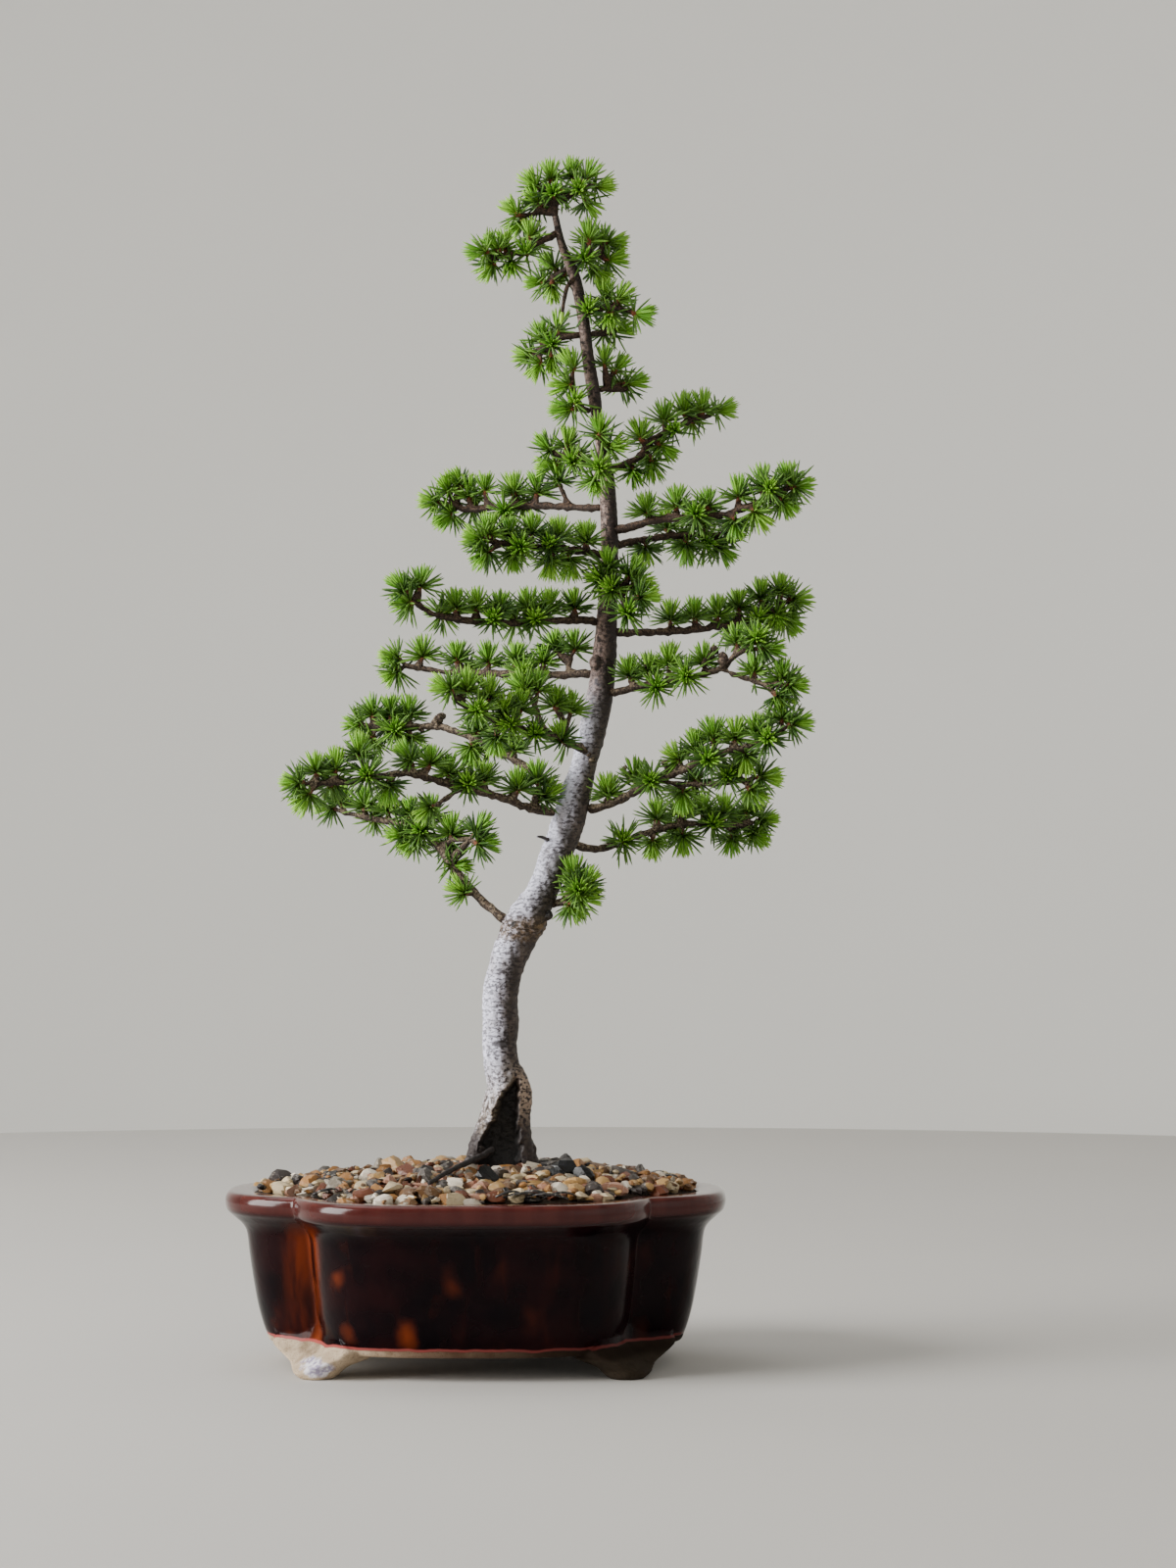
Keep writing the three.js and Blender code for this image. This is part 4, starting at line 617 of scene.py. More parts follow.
def even_rows(stops, step):
    """The smooth line through the stops, read again at even steps of its length."""
    line = smooth_rows(stops, 12)
    run = np.concatenate([[0], np.cumsum(np.linalg.norm(np.diff(line[:, :3], axis=0), axis=1))])
    even = np.linspace(0, run[-1], int(run[-1] / step))
    return np.stack([np.interp(even, run, column) for column in line.T], -1)


def swell(rings, centres, share):
    """Moves every point of the rings out from the middle of its ring by a share of its radius."""
    return centres[:, None] + (rings - centres[:, None]) * (1 + share)[..., None]


def hollow_depth(points):
    """1 inside the hollow between the root legs and 0 outside it, with soft sides."""
    x, y, z = np.moveaxis(points, -1, 0)
    left_side = np.interp(z, *zip(*HOLLOW_LEFT))
    right_side = np.interp(z, *zip(*HOLLOW_RIGHT))
    inside = np.minimum(x - left_side, right_side - x) + 0.9 * ripple(points, 6, 9)
    return np.clip(inside / 2.2 + 0.4, 0, 1) * (y < 0) * (z < HOLLOW_TOP)


trunk_rows = even_rows(TRUNK, ROW_STEP)
trunk_line = trunk_rows[:, :3]
rings = tube(trunk_line, trunk_rows[:, 3], TRUNK_SIDES)
height = rings[..., 2]
around = even_turns(TRUNK_SIDES)
flare = np.clip((FLARE_TOP - height) / FLARE_DEPTH, 0, 1)
legs = 0.1 * flare * np.cos(4 * around + 0.6) + 0.05 * flare * np.cos(9 * around + 2)
lumps = 0.028 * ripple(rings, 14, 3) + 0.022 * ripple(rings, 5, 4) + 0.018 * ripple(rings, 2.2, 5)
knot = np.exp(-(((height - KNOT_HEIGHT) / 4) ** 2)) * (0.08 + 0.06 * ripple(rings, 4, 6))
rings = swell(rings, trunk_line, legs + lumps + knot)
hollow = hollow_depth(rings)
rings[..., 1] += hollow * (HOLLOW_BACK - rings[..., 1]) * 0.95
print("the trunk has", len(rings), "rows about", ROW_STEP, "mm apart")

# %% [markdown]
# Roots, broken twigs and the thorn are short stems of their own. They start well inside the trunk,
# so the seam between them lies in the wood's own folds, and they join the trunk's mesh.

# %% The trunk
STEMS = {
    "thin_root": [
        (8.5, -9, 107, 1.8), (4, -15, 104.8, 1.6), (-1, -24, 103, 1.5), (-6, -34, 101.4, 1.4),
        (-11, -44, 99.6, 1.3), (-16, -53, 97.4, 1.2), (-21, -61, 94.6, 0.9),
    ],
    "left_root": [(2, -1, 108, 3.8), (-2, -4, 101, 3.6), (-6, -7, 95, 3)],
    "right_root": [(25, 0, 110, 4.2), (27.5, -3, 101, 4.2), (30, -6, 94, 3.2)],
    "broken_branch": [
        (28, -3, 224, 4), (34, -4, 225, 3.1), (38, -5, 226, 2.1), (38.6, -5.1, 226.2, 1.2),
    ],
    "left_bump": [
        (64, 0, 354, 5), (60.5, -2, 354.5, 4), (58.4, -2.6, 355, 2.6), (57.6, -2.8, 355.1, 1),
    ],
    "thorn": [(36.5, -4, 263.6, 1.3), (33.6, -7, 265, 0.8), (30.8, -9, 265.4, 0.4)],
}
STEM_SIDES = 20
STEM_STEP = 0.7
DEAD_STEMS = ("thin_root", "broken_branch", "thorn")
DEAD_WOOD = 0.62


def stem_skin(stops):
    """A short stem through its stops, a little uneven, as an array that holds one skin."""
    rows = even_rows(stops, STEM_STEP)
    rings = tube(rows[:, :3], rows[:, 3], STEM_SIDES)
    return swell(rings, rows[:, :3], 0.14 * ripple(rings, 5, 8))[None]


# The numbers called hollow hold the painted shade in the hollow between the root legs, and the
# darker colour of the dead stems.
skins = [rings[None]]
dark = [hollow.ravel()]
for name, stops in STEMS.items():
    skins.append(stem_skin(stops))
    dark.append(np.full(skins[-1][..., 0].size, DEAD_WOOD * (name in DEAD_STEMS)))
trunk_mesh = write_mesh("trunk_wood", *joined(skins), {"hollow": np.concatenate(dark)})
print("the trunk and its stems have", len(trunk_mesh.vertices), "points")

# %% [markdown]
# ## Young bark
# The bark of a young trunk is smooth and silvery, with short dark pores across it and fine cracks
# along it.
# The side that faces the daylight from the left is painted lighter and the other side darker, as
# painted light and shade. Up in the crown, where the wood is only two or three years old, it is
# still brown with a purple bloom. The masks follow height for the age of the wood, and the side that
# faces the light for the painted light and shade.

# %% Where the bark is old or rubbed, and where light and shade are painted on it
bark = Finish("bark", Specular_IOR_Level=0.4)
up = bark.axis("Z")
right = bark.axis("X") - float(POT_MIDDLE[0] / MM)
# Painted light: the bark is painted lighter where it faces the daylight from the left, darker where
# it faces away.
lit = 0 - bark.facing("X")
painted_lit_side = lit.between(-0.55, 0.75)
patches = bark.noise(8, (1, 1, 0.5), detail=4, rough=0.6)
specks = bark.noise(1.5, (0.6, 0.6, 1.3), rough=0.65)
flakes = bark.noise(2.6, (1, 1, 0.8), detail=4, rough=0.7)
cracks = bark.noise(1.5, (1, 1, 0.15), rough=0.7)

age = 1 - up.between(310, 354)
low = 1 - up.between(122, 158)
smooth = up.between(225, 250)
damp = 1 - (up + right * 0.5).between(110, 126)
right_leg = right.between(18, 20.5) * (1 - up.between(140, 153))
wavy = up + flakes * 9 - 4.5
ring_mark = wavy.band((211, 216), (221, 227))
scar = 1 - ((right - 12.5).spread() + (up - 160.5).spread() * 5).between(10, 26)
# The dark pores are fewer on the painted lit side.
pores = specks.between(0.5, 0.56) * (1 - painted_lit_side * (smooth * 0.2 + 0.45))
# A painted dark spot for the shade in a small hole in the knot, on the lit side.
painted_knot_hole = 1 - ((right - 19.4).spread() + (up - 221).spread()).between(1.0, 4.0)
print("the masks of the bark take", len(bark.tree.nodes), "nodes")

# %% Finish of the bark
# Painted light and shade: silver for the side facing the daylight, darker colours for the side away
# from it.
painted_lit_silver = bark.mix((172, 168, 176), (226, 226, 246), patches.between(0.3, 0.56))
shade = bark.mix((50, 41, 36), (94, 82, 75), patches.between(0.35, 0.7))
leg = bark.coats(
    (44, 32, 29),
    ((168, 146, 128), (up + flakes * 14).between(122, 140)),
    # painted shade on the side of the right leg that faces into the hollow
    ((20, 14, 13), lit.between(0.1, 0.5) * (1 - up.between(128, 146)) * 0.9),
)
wood = bark.coats(
    (42, 29, 26),
    ((164, 138, 128), flakes.between(0.36, 0.6) * painted_lit_side),  # young bark of the crown, its light flakes only on the painted lit side
    (bark.mix(shade, painted_lit_silver, painted_lit_side), age),  # old bark below it, painted silver on the lit side and dark on the shaded side
    ((176, 166, 144), low * 0.5),
    ((118, 98, 76), flakes.between(0.44, 0.52) * low * 0.8),
    ((50, 42, 42), damp * 0.94),
    (leg, right_leg * 0.9),
    ((40, 30, 28), flakes.between(0.55, 0.6) * (low * 0.7 + 0.25 - smooth * 0.15)),
    ((46, 37, 38), pores),
    ((118, 94, 66), ring_mark * (flakes.between(0.4, 0.56) * 0.6 + 0.25)),  # the knot's ring
    ((52, 40, 30), ring_mark * specks.between(0.44, 0.54) * 0.8),
    ((30, 22, 20), scar * 0.8),
    # painted shade in the small hole in the knot
    ((14, 10, 9), painted_knot_hole * painted_lit_side),
    # painted shade in the hollow between the root legs, and the darker dead wood of the dead stems
    ((9, 6, 5), bark.attribute("hollow") * 0.96),
)
relief = bark.bump(cracks, 0.4, 0.5)
relief = bark.bump(1 - specks.between(0.5, 0.66), 0.5, 0.8, under=relief)
relief = bark.bump(flakes, 0.8, 0.7, under=relief)
bark.set(Base_Color=wood, Roughness=patches * 0.2 + 0.5, Normal=relief)
show(trunk_mesh, "bark", "trunk", finishes=[bark])

# %% [markdown]
# ## Gravel
# Loose gravel could be dropped in a physics simulation, but a picture needs only its top layer. So
# the stones are set out on a shaken honeycomb over the mound and lie mostly flat, as settled stones
# do. A second, sparser set of small ones fills between them, a few big ones lie on top, and a patch
# at the front is left free for fallen bark. Each stone is a sphere of few faces, with three
# different half-lengths, pushed out of true by the ripple and pressed flat on some sides.

# %% Shapes of stones
STONE_ROWS = 7
STONE_SIDES = 9
POLE_GAP = 0.16
ROW_TWIST = 0.3
PRESSINGS = 7
PRESSED_AT = (0.42, 0.9)
EDGE_ANGLE = np.radians(26)


def unit_stones(count, seed):
    """Closed balls of a few rows: the circle sin b wide at height cos b, for b from 0 to pi. A few
    planes then press each ball flat where it reaches past them, as breaking does to a stone."""
    tilt = np.linspace(POLE_GAP, np.pi - POLE_GAP, STONE_ROWS)[:, None]
    turn = even_turns(STONE_SIDES) + ROW_TWIST * np.arange(STONE_ROWS)[:, None]
    ball = stacked(np.sin(tilt) * np.cos(turn), np.sin(tilt) * np.sin(turn), np.cos(tilt))
    draw = np.random.default_rng(seed)
    apart = ball + draw.uniform(-50, 50, (count, 1, 1, 3))
    balls = ball * (1.12 + 0.2 * ripple(apart, 2.4, seed))[..., None]
    for _ in range(PRESSINGS):
        way = unit(draw.normal(size=(count, 1, 1, 3)))
        reach = (balls * way).sum(-1, keepdims=True)
        balls = balls - way * np.maximum(reach - draw.uniform(*PRESSED_AT, (count, 1, 1, 1)), 0)
    return balls


def turned(shapes, tilt, spin):
    """Shapes tipped about x by tilt and then turned about z by spin."""
    x, y, z = np.moveaxis(shapes, -1, 0)
    tilt = tilt[:, None, None]
    spin = spin[:, None, None]
    y, z = y * np.cos(tilt) - z * np.sin(tilt), y * np.sin(tilt) + z * np.cos(tilt)
    x, y = x * np.cos(spin) - y * np.sin(spin), x * np.sin(spin) + y * np.cos(spin)
    return stacked(x, y, z)


print("a stone has", STONE_ROWS * STONE_SIDES, "points")


# %% Places on the mound
GRAVEL_EDGE = 86
GRAVEL_RISE = 12.5
LEFT_RISE = 2.6
LEFT_REACH = 110
TOP_SHIFT = 6
TRUNK_FOOT = np.array([13.0, 0.0])
TRUNK_CLEARANCE = 15
LITTER_MIDDLE = np.array([33, -81])
LITTER_SIZE = np.array([21, 6.5])
HONEYCOMB_ROW = 0.866
STEPS_OUT = np.arange(-40, 41)
BREADTHS = (0.68, 0.98)
THICKNESSES = (0.5, 0.8)
LYING_TILT = 0.35


def mound_height(x, y):
    """Highest at the trunk and falling with the square of the way out to the rim, with a small rise
    that grows with the square of the way to the left."""
    offset = np.stack([x, y], -1) - TRUNK_FOOT
    angle = np.arctan2(y, x)
    rim = pot_radius(angle, RIM_WIDTH) - TOP_SHIFT * np.cos(angle)
    share = np.linalg.norm(offset, axis=-1) / rim
    left = np.clip(-x / LEFT_REACH, 0, 1)
    return GRAVEL_EDGE + LEFT_RISE * left**2 + GRAVEL_RISE * (1 - np.clip(share, 0, 1) ** 2)


def honeycomb(pitch, shake, keep, margin, seed):
    """Places on a shaken honeycomb inside the rim, clear of the trunk and of the fallen bark."""
    draw = np.random.default_rng(seed)
    row, column = np.meshgrid(STEPS_OUT, STEPS_OUT, indexing="ij")
    x = ((column + 0.5 * (row % 2)) * pitch).ravel()
    y = (row * pitch * HONEYCOMB_ROW).ravel()
    x = x + draw.uniform(-shake, shake, x.size)
    y = y + draw.uniform(-shake, shake, y.size)
    place = np.stack([x, y])
    free = np.hypot(x, y) < pot_radius(np.arctan2(y, x), RIM_WIDTH + margin)
    free &= np.hypot(*(place - TRUNK_FOOT[:, None])) > TRUNK_CLEARANCE
    free &= np.hypot(*((place - LITTER_MIDDLE[:, None]) / LITTER_SIZE[:, None])) > 1
    chosen = free & (draw.random(x.size) < keep)
    return x[chosen], y[chosen], draw


def laid(shapes, x, y, lift):
    """Shapes set down on the mound at x and y, each raised by lift."""
    return shapes + stacked(x, y, mound_height(x, y) + lift)[:, None, None]


def stones(pitch, shake, keep, margin, sizes, lift, seed):
    """Skins of stones set out on a honeycomb: pitch and shake of their places, the share to keep,
    the margin to the rim, least and largest half-length, and least and largest lift."""
    x, y, draw = honeycomb(pitch, shake, keep, margin, seed)
    count = len(x)
    half = draw.uniform(*sizes, count)
    breadth = half * draw.uniform(*BREADTHS, count)
    shape = stacked(half, breadth, half * draw.uniform(*THICKNESSES, count))
    skins = unit_stones(count, seed) * shape[:, None, None]
    skins = turned(skins, draw.normal(0, LYING_TILT, count), draw.uniform(0, 2 * np.pi, count))
    return laid(skins, x, y, draw.uniform(*lift, count))


print("at the trunk the gravel is", mound_height(*TRUNK_FOOT), "mm up")


# %% The stones
large = stones(7.9, 2.0, 1.0, 3.4, (3.8, 6.6), (-1.8, 0.6), 21)
small = stones(5.2, 2.3, 0.5, 1.6, (1.6, 3.3), (0.0, 2.4), 22)
big = stones(22, 9, 0.8, 8, (5.6, 7.8), (0.0, 1.2), 23)
skins = np.concatenate([large, small, big])
draw = np.random.default_rng(24)
per_stone = STONE_ROWS * STONE_SIDES
numbers = {key: np.repeat(draw.random(len(skins)), per_stone) for key in ("kind", "tone")}
stone_mesh = write_skins("pebbles", skins, numbers)
stone_mesh.set_sharp_from_angle(angle=EDGE_ANGLE)
print(len(large), "large,", len(small), "small and", len(big), "big stones")

# %% [markdown]
# Under the stones lies a bed of grit, so that no light falls through the gaps. Its dark colour is
# partly the grit's own and partly painted shade between the stones. It is one grid of rings from the
# rim in to the trunk, roughened by the ripple.

# %% The bed of grit
BED_SINK = 2.6
BED_RINGS = 60
BED_INNER_SHARE = 0.03
SKIRT_FOOT = 79.5
shares = np.linspace(1, BED_INNER_SHARE, BED_RINGS)[:, None]
edge = pot_radius(turns[::2], RIM_WIDTH + 0.8)
bed_x = TRUNK_FOOT[0] + (edge * np.cos(turns[::2]) - TRUNK_FOOT[0]) * shares
bed_y = edge * np.sin(turns[::2]) * shares
bed = stacked(bed_x, bed_y, mound_height(bed_x, bed_y) - BED_SINK)
bed[..., 2] += 0.7 * ripple(bed, 3, 30) + 0.5 * ripple(bed, 1.6, 31)
skirt = bed[:1] * [1, 1, 0] + [0, 0, SKIRT_FOOT]
bed_mesh = write_skins("grit_bed_painted_shade", np.concatenate([skirt, bed])[None])
print("the bed of grit has", len(bed_mesh.vertices), "points")

# %% [markdown]
# ## The colours of mixed gravel
# Garden gravel is a mix of many rocks. Every stone carries one number that picks its rock from a
# ramp of steps, and another that darkens it, and fine noise gives it grain.

# %% Finishes of stones and grit
ROCKS = [
    (0.0, (158, 110, 58)), (0.12, (188, 148, 92)), (0.25, (112, 80, 50)), (0.38, (206, 186, 148)),
    (0.5, (228, 216, 196)), (0.57, (136, 126, 110)), (0.64, (86, 80, 76)), (0.7, (112, 60, 36)),
    (0.8, (176, 128, 104)), (0.85, (50, 42, 40)), (0.92, (24, 21, 24)),
]
pebble = Finish("pebble", Specular_IOR_Level=0.4)
grain = pebble.noise(1.1, detail=4, rough=0.7)
veins = pebble.noise(3.2, bend=1.2)
rock = pebble.coats(
    pebble.node("ShaderNodeValToRGB", {"stops": ROCKS}, {0: pebble.attribute("kind")}),
    ((92, 76, 58), grain.between(0.5, 0.75) * 0.45),
    ((232, 222, 206), veins.between(0.58, 0.7) * 0.3),
    ((40, 32, 26), pebble.attribute("tone") * 0.35),
)
relief = pebble.bump(grain + veins * 0.6, 0.35, 0.7)
pebble.set(Base_Color=rock, Roughness=grain * 0.4 + 0.2, Normal=relief)
# The grit's dark colours are partly its own and partly painted shade in the gaps between the stones.
grit = Finish("grit", Specular_IOR_Level=0.3, Roughness=0.9)
grit.set(
    Base_Color=grit.mix((22, 17, 13), (70, 54, 39), grit.noise(1.5)),
    Normal=grit.bump(1 - grit.cells(1.8), 0.8, 0.9),
)
show(stone_mesh, "gravel", "gravel", finishes=[pebble])
show(bed_mesh, "gravel", finishes=[grit])

# %% [markdown]
# ## What has fallen on the gravel
# Flakes of old bark and a few dark lumps lie among the stones. A flake is a strip that is arched
# along its length and closed underneath. The lumps are stones again, of another rock.

# %% Bark flakes and dark lumps
# A flake has its place, half-length, half-width and turn in degrees, a lump place and half-lengths.
FLAKE_PLACES = [
    (26, -80, 10, 3.0, 8), (36, -81, 11, 2.8, -12), (44, -78, 9, 2.6, 24), (30, -77, 9, 2.6, -20),
    (20, -78, 8, 2.4, 32), (-70, -52, 9, 2.6, 35), (66, 40, 9, 2.8, 60), (-40, 52, 8, 2.6, 10),
]
FLAKE_ROWS = 14
FLAKE_ARCH = 2.6
FLAKE_LIFT = 1.2
LUMP_LIFT = 3
LUMP_PLACES = [
    (47, -32, 8.5, 6.5, 6.4), (54, -38, 6.2, 5, 5), (41, -38, 5.4, 4.6, 4), (7, -50, 6.8, 5, 5.6),
]


def flakes_of(half_length, half_width):
    """Strips whose rings are flat lozenges: four corners at every row, arched along the length."""
    half_length, half_width = half_length[:, None, None], half_width[:, None, None]
    along = np.linspace(-1, 1, FLAKE_ROWS)[None, :, None]
    across = half_width * np.sqrt(1 - 0.92 * along**2) * [-1, 0, 1, 0]
    skew = 0.25 * half_length * along**2
    height = FLAKE_ARCH * (1 - along**2) + [0, 0.9, 0, 0.2]
    return stacked(half_length * along, across + skew, height)


x, y, half_length, half_width, turn = np.array(FLAKE_PLACES).T
skins = turned(flakes_of(half_length, half_width), 0 * turn, np.radians(turn))
flake_mesh = write_skins("bark_flakes", laid(skins, x, y, FLAKE_LIFT))
x, y, *halves = np.array(LUMP_PLACES).T
skins = unit_stones(len(x), 31) * np.stack(halves, -1)[:, None, None]
lump_mesh = write_skins("dark_lumps", laid(skins, x, y, LUMP_LIFT))
lump_mesh.set_sharp_from_angle(angle=EDGE_ANGLE)

jet = Finish("jet", Specular_IOR_Level=0.35)
facets = jet.noise(2.6, detail=4, rough=0.7)
jet.set(
    Base_Color=jet.mix((6, 6, 8), (32, 32, 38), facets.between(0.55, 0.75)),
    Roughness=facets * 0.5 + 0.1,
    Normal=jet.bump(facets, 0.7, 0.7),
)
peel = Finish("peel", Specular_IOR_Level=0.5)
stripes = peel.noise(1.6, (1, 0.3, 1))
peel.set(
    Base_Color=peel.mix((26, 20, 18), (150, 140, 128), stripes.between(0.55, 0.7) * 0.8),
    Roughness=stripes * 0.4 + 0.2,
    Normal=peel.bump(stripes, 0.4, 0.8),
)
show(flake_mesh, "gravel", finishes=[peel])
show(lump_mesh, "gravel", finishes=[jet])

# %% [markdown]
# ## Reading the tree's own solids
# The solid of each branch already has every twig, bud and needle at its place, with few and thick
# needles. Rather than plan the tree twice, its form is read back from the solid's mesh. A needle
# there is a pyramid on one face of a bud, so its tip is a corner of exactly three faces. Taking the
# tips off gives the bare wood, and the faces that the pyramids stood on, gathered where they touch,
# give the buds: the middle of each and the way it faces.


# %% Wood and buds of a branch
LABEL_ROUNDS = 8
LEAST_NEEDLES = 5


def read_points(mesh, field):
    """The places ("co") or the facings ("normal") of all points of a mesh."""
    values = np.empty(len(mesh.vertices) * 3)
    mesh.vertices.foreach_get(field, values)
    return values.reshape(-1, 3)


def read_faces(mesh, corners):
    """The points of every face of a mesh whose faces all have the same number of corners."""
    values = np.empty(len(mesh.loops), int)
    mesh.loops.foreach_get("vertex_index", values)
    return values.reshape(-1, corners)


def read_solid(name):
    """Corners, in millimetres, and faces of a solid, with corners at the same place made one."""
    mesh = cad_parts[name].data
    corners = to_pot(read_points(mesh, "co"))
    spots = np.round(corners, 3)
    _, kept, merged = np.unique(spots, axis=0, return_index=True, return_inverse=True)
    return corners[kept], merged.reshape(-1)[read_faces(mesh, 3)]


def bare_wood(points, faces):
    """The faces with every needle's tip taken off, and the feet and tips of the needles."""
    is_tip = np.bincount(faces.ravel(), minlength=len(points)) == 3
    holders = is_tip[faces].sum(1) == 1
    needles, wood = faces[holders], faces[~holders]
    at = np.argmax(is_tip[needles], axis=1)
    start, end, tip = (needles[np.arange(len(needles)), (at + step) % 3] for step in (1, 2, 0))
    order = np.argsort(tip, kind="stable")
    start, end, tip = start[order], end[order], tip[order]
    tips, first, uses = np.unique(tip, return_index=True, return_counts=True)
    whole = uses == 3
    first, tips = first[whole], tips[whole]
    a, b = start[first], end[first]
    c = start[first] + start[first + 1] + start[first + 2] - a - b
    feet = np.stack([a, b, c], -1)
    return np.concatenate([wood, feet]), feet, points[tips]


def gather_buds(points, feet, tips):
    """Middle and facing of each bud. Needles whose feet share a corner belong to one bud: the least
    label of a foot's corners goes to all three, round after round, till it fills the bud."""
    label = np.arange(len(points))
    for _ in range(LABEL_ROUNDS):
        least = label[feet].min(axis=1)
        np.minimum.at(label, feet, least[:, None])
    _, bud, size = np.unique(label[feet[:, 0]], return_inverse=True, return_counts=True)
    root = points[feet].mean(axis=1)
    middle, facing = np.zeros((2, len(size), 3))
    np.add.at(middle, bud, root)
    np.add.at(facing, bud, unit(tips - root))
    real = size >= LEAST_NEEDLES
    return (middle / size[:, None])[real], unit(facing)[real]


spray = {}
for name in FOLIAGE:
    points, faces = read_solid(name)
    wood, feet, tips = bare_wood(points, faces)
    spray[name] = (points, wood, *gather_buds(points, feet, tips))
print(sum(len(parts[2]) for parts in spray.values()), "buds on", len(spray), "branches")

# %% [markdown]
# ## Needles
# A spur of this tree carries a brush of needles. The young ones stand close round its axis like the
# hair of a brush, and the old ones spread out flat and a little back. If the cosine of the slope is
# spread evenly, the brush is equally dense on every side, as points on a ball are. Towards the top
# the spurs are young themselves and have fewer old needles. Each needle is a three-sided stem of
# four rings that bends towards the axis. All needles of a branch are worked out in one array.

# %% Needles of a branch
NEEDLE_LEVELS = np.array([0.0, 0.4, 0.8, 1.0])
NEEDLE_GIRTH = np.array([0.8, 1.0, 0.85, 0.2])
NEEDLE_RADIUS = 0.63
NEEDLE_SIDES = 3
OLD_BRUSH = {"count": 36, "cosines": (0.74, -0.34), "lengths": (8.8, 13.4), "bend": 0.14}
YOUNG_BRUSH = {"count": 24, "cosines": (1.0, 0.84), "lengths": (9.6, 12.4), "bend": 0.28}
LIGHT_LEAN = 0.12
SINGLE_NEEDLES = 4
SINGLE_REACH = (1, 5)
THIN_FROM = 420
THIN_SHARE = 0.5
GOLDEN_ANGLE = np.pi * (3 - np.sqrt(5))


def brush_ways(facing, count, cosines, draw):
    """Unit vectors spread round each facing, evenly in cosine and by the golden angle in turn."""
    buds = len(facing)
    cosine = np.linspace(*cosines, count)[None] + draw.uniform(-0.05, 0.05, (buds, count))
    cosine = np.clip(cosine, -1, 1)
    turn = GOLDEN_ANGLE * np.arange(count)[None] + draw.uniform(0, 2 * np.pi, (buds, 1))
    turn = turn + draw.uniform(-0.25, 0.25, (buds, count))
    sine = np.sqrt(1 - cosine**2)
    return facing[:, None] * cosine[..., None] + spokes(facing, turn) * sine[..., None]


def needle_rings(root, way, bend, length, girth):
    """Rings of needles: the middle line is root + length (way t + bend t^2), for t from 0 to 1."""
    t = NEEDLE_LEVELS[None, :, None]
    middle = root[:, None] + length[:, None, None] * (way[:, None] * t + bend[:, None] * t**2)
    radius = (NEEDLE_GIRTH * girth[:, None])[..., None, None]
    return middle[:, :, None] + radius * spokes(way, even_turns(NEEDLE_SIDES))[:, None]


def brush(middle, facing, draw, count, cosines, lengths, bend):
    """Root, way, bend, length and tone of the needles of every bud, in one row each."""
    buds = len(middle)
    ways = brush_ways(facing, count, cosines, draw)
    length = draw.uniform(0.86, 1.08, (buds, 1)) * draw.uniform(*lengths, (buds, count))
    slope = (ways * facing[:, None]).sum(-1)
    inward = facing[:, None] - ways * slope[..., None]
    bends = inward * draw.uniform(-0.2 * bend, bend, (buds, count, 1))
    root = middle[:, None] + 0.8 * ways
    tone = 0.55 * draw.random((buds, 1)) + 0.45 * draw.random((buds, count))
    return [part.reshape(-1, *part.shape[2:]) for part in (root, ways, bends, length, tone)]


def single_needles(stem, normals, reach, count, draw):
    """Old needles that stand alone on the wood near the buds and lean up and outwards."""
    near = np.flatnonzero((reach > SINGLE_REACH[0]) & (reach < SINGLE_REACH[1]))
    chosen = draw.choice(near, count) if len(near) else near
    way = unit(normals[chosen] + draw.normal(0, 0.45, (len(chosen), 3)) + [0, 0, 0.15])
    length = draw.uniform(7, 11.5, len(chosen))
    bend = draw.normal(0, 0.08, (len(chosen), 3))
    return [stem[chosen], way, bend, length, draw.random(len(chosen)) * 0.7]


def needles_of(middle, facing, stem, normals, reach, seed):
    """Skins of all needles of a branch with each one's age, tone and the way along it."""
    draw = np.random.default_rng(seed)
    facing = unit(facing + [0, 0, LIGHT_LEAN])
    young = brush(middle, facing, draw, **YOUNG_BRUSH)
    old = brush(middle, facing, draw, **OLD_BRUSH)
    alone = single_needles(stem, normals, reach, SINGLE_NEEDLES * len(middle), draw)
    parts = [np.concatenate(part) for part in zip(young, old, alone)]
    is_young = np.arange(len(parts[0])) < len(young[0])
    thinned = np.clip((parts[0][:, 2] - THIN_FROM) / 60, 0, 1) * THIN_SHARE * ~is_young
    kept = draw.random(len(is_young)) >= thinned
    root, way, bend, length, tone, is_young = (part[kept] for part in (*parts, is_young))
    count = len(root)
    rings = needle_rings(root, way, bend, length, NEEDLE_RADIUS * draw.uniform(0.8, 1.15, count))
    per_corner = len(NEEDLE_LEVELS) * NEEDLE_SIDES
    along = np.tile(np.repeat(NEEDLE_LEVELS, NEEDLE_SIDES), count)
    return rings, np.repeat(is_young * 1.0, per_corner), np.repeat(tone, per_corner), along


print("needles a bud:", YOUNG_BRUSH["count"] + OLD_BRUSH["count"] + SINGLE_NEEDLES)

# %% [markdown]
# ## Wood of the twigs
# The bare wood of a branch is still a square stem with three-sided spurs. One level of subdivision
# rounds it, which also thins it, so every point is then moved out along its normal. The ripple adds
# the knobs of old bud scars. Points near a bud are marked, because bud scales are red-brown where
# the bark behind them is dark.

# %% Rounded wood
WOOD_GROWTH = 0.85


def rounded(points, faces):
    """A mesh smoothed by subdivision, handed back as points, normals and faces of four corners."""
    scratch = put("wood", write_mesh("wood", points, [faces]))
    modifier = scratch.modifiers.new("round", "SUBSURF")
    modifier.levels = modifier.render_levels = 1
    mesh = finished_mesh(scratch, "round_wood")
    return to_pot(read_points(mesh, "co")), read_points(mesh, "normal"), read_faces(mesh, 4)


def second_finish(mesh, groups, first):
    """Gives a mesh's second finish to the groups of faces from first on."""
    index = np.concatenate([np.full(len(group), i >= first) for i, group in enumerate(groups)])
    mesh.polygons.foreach_set("material_index", index.astype(np.int32))


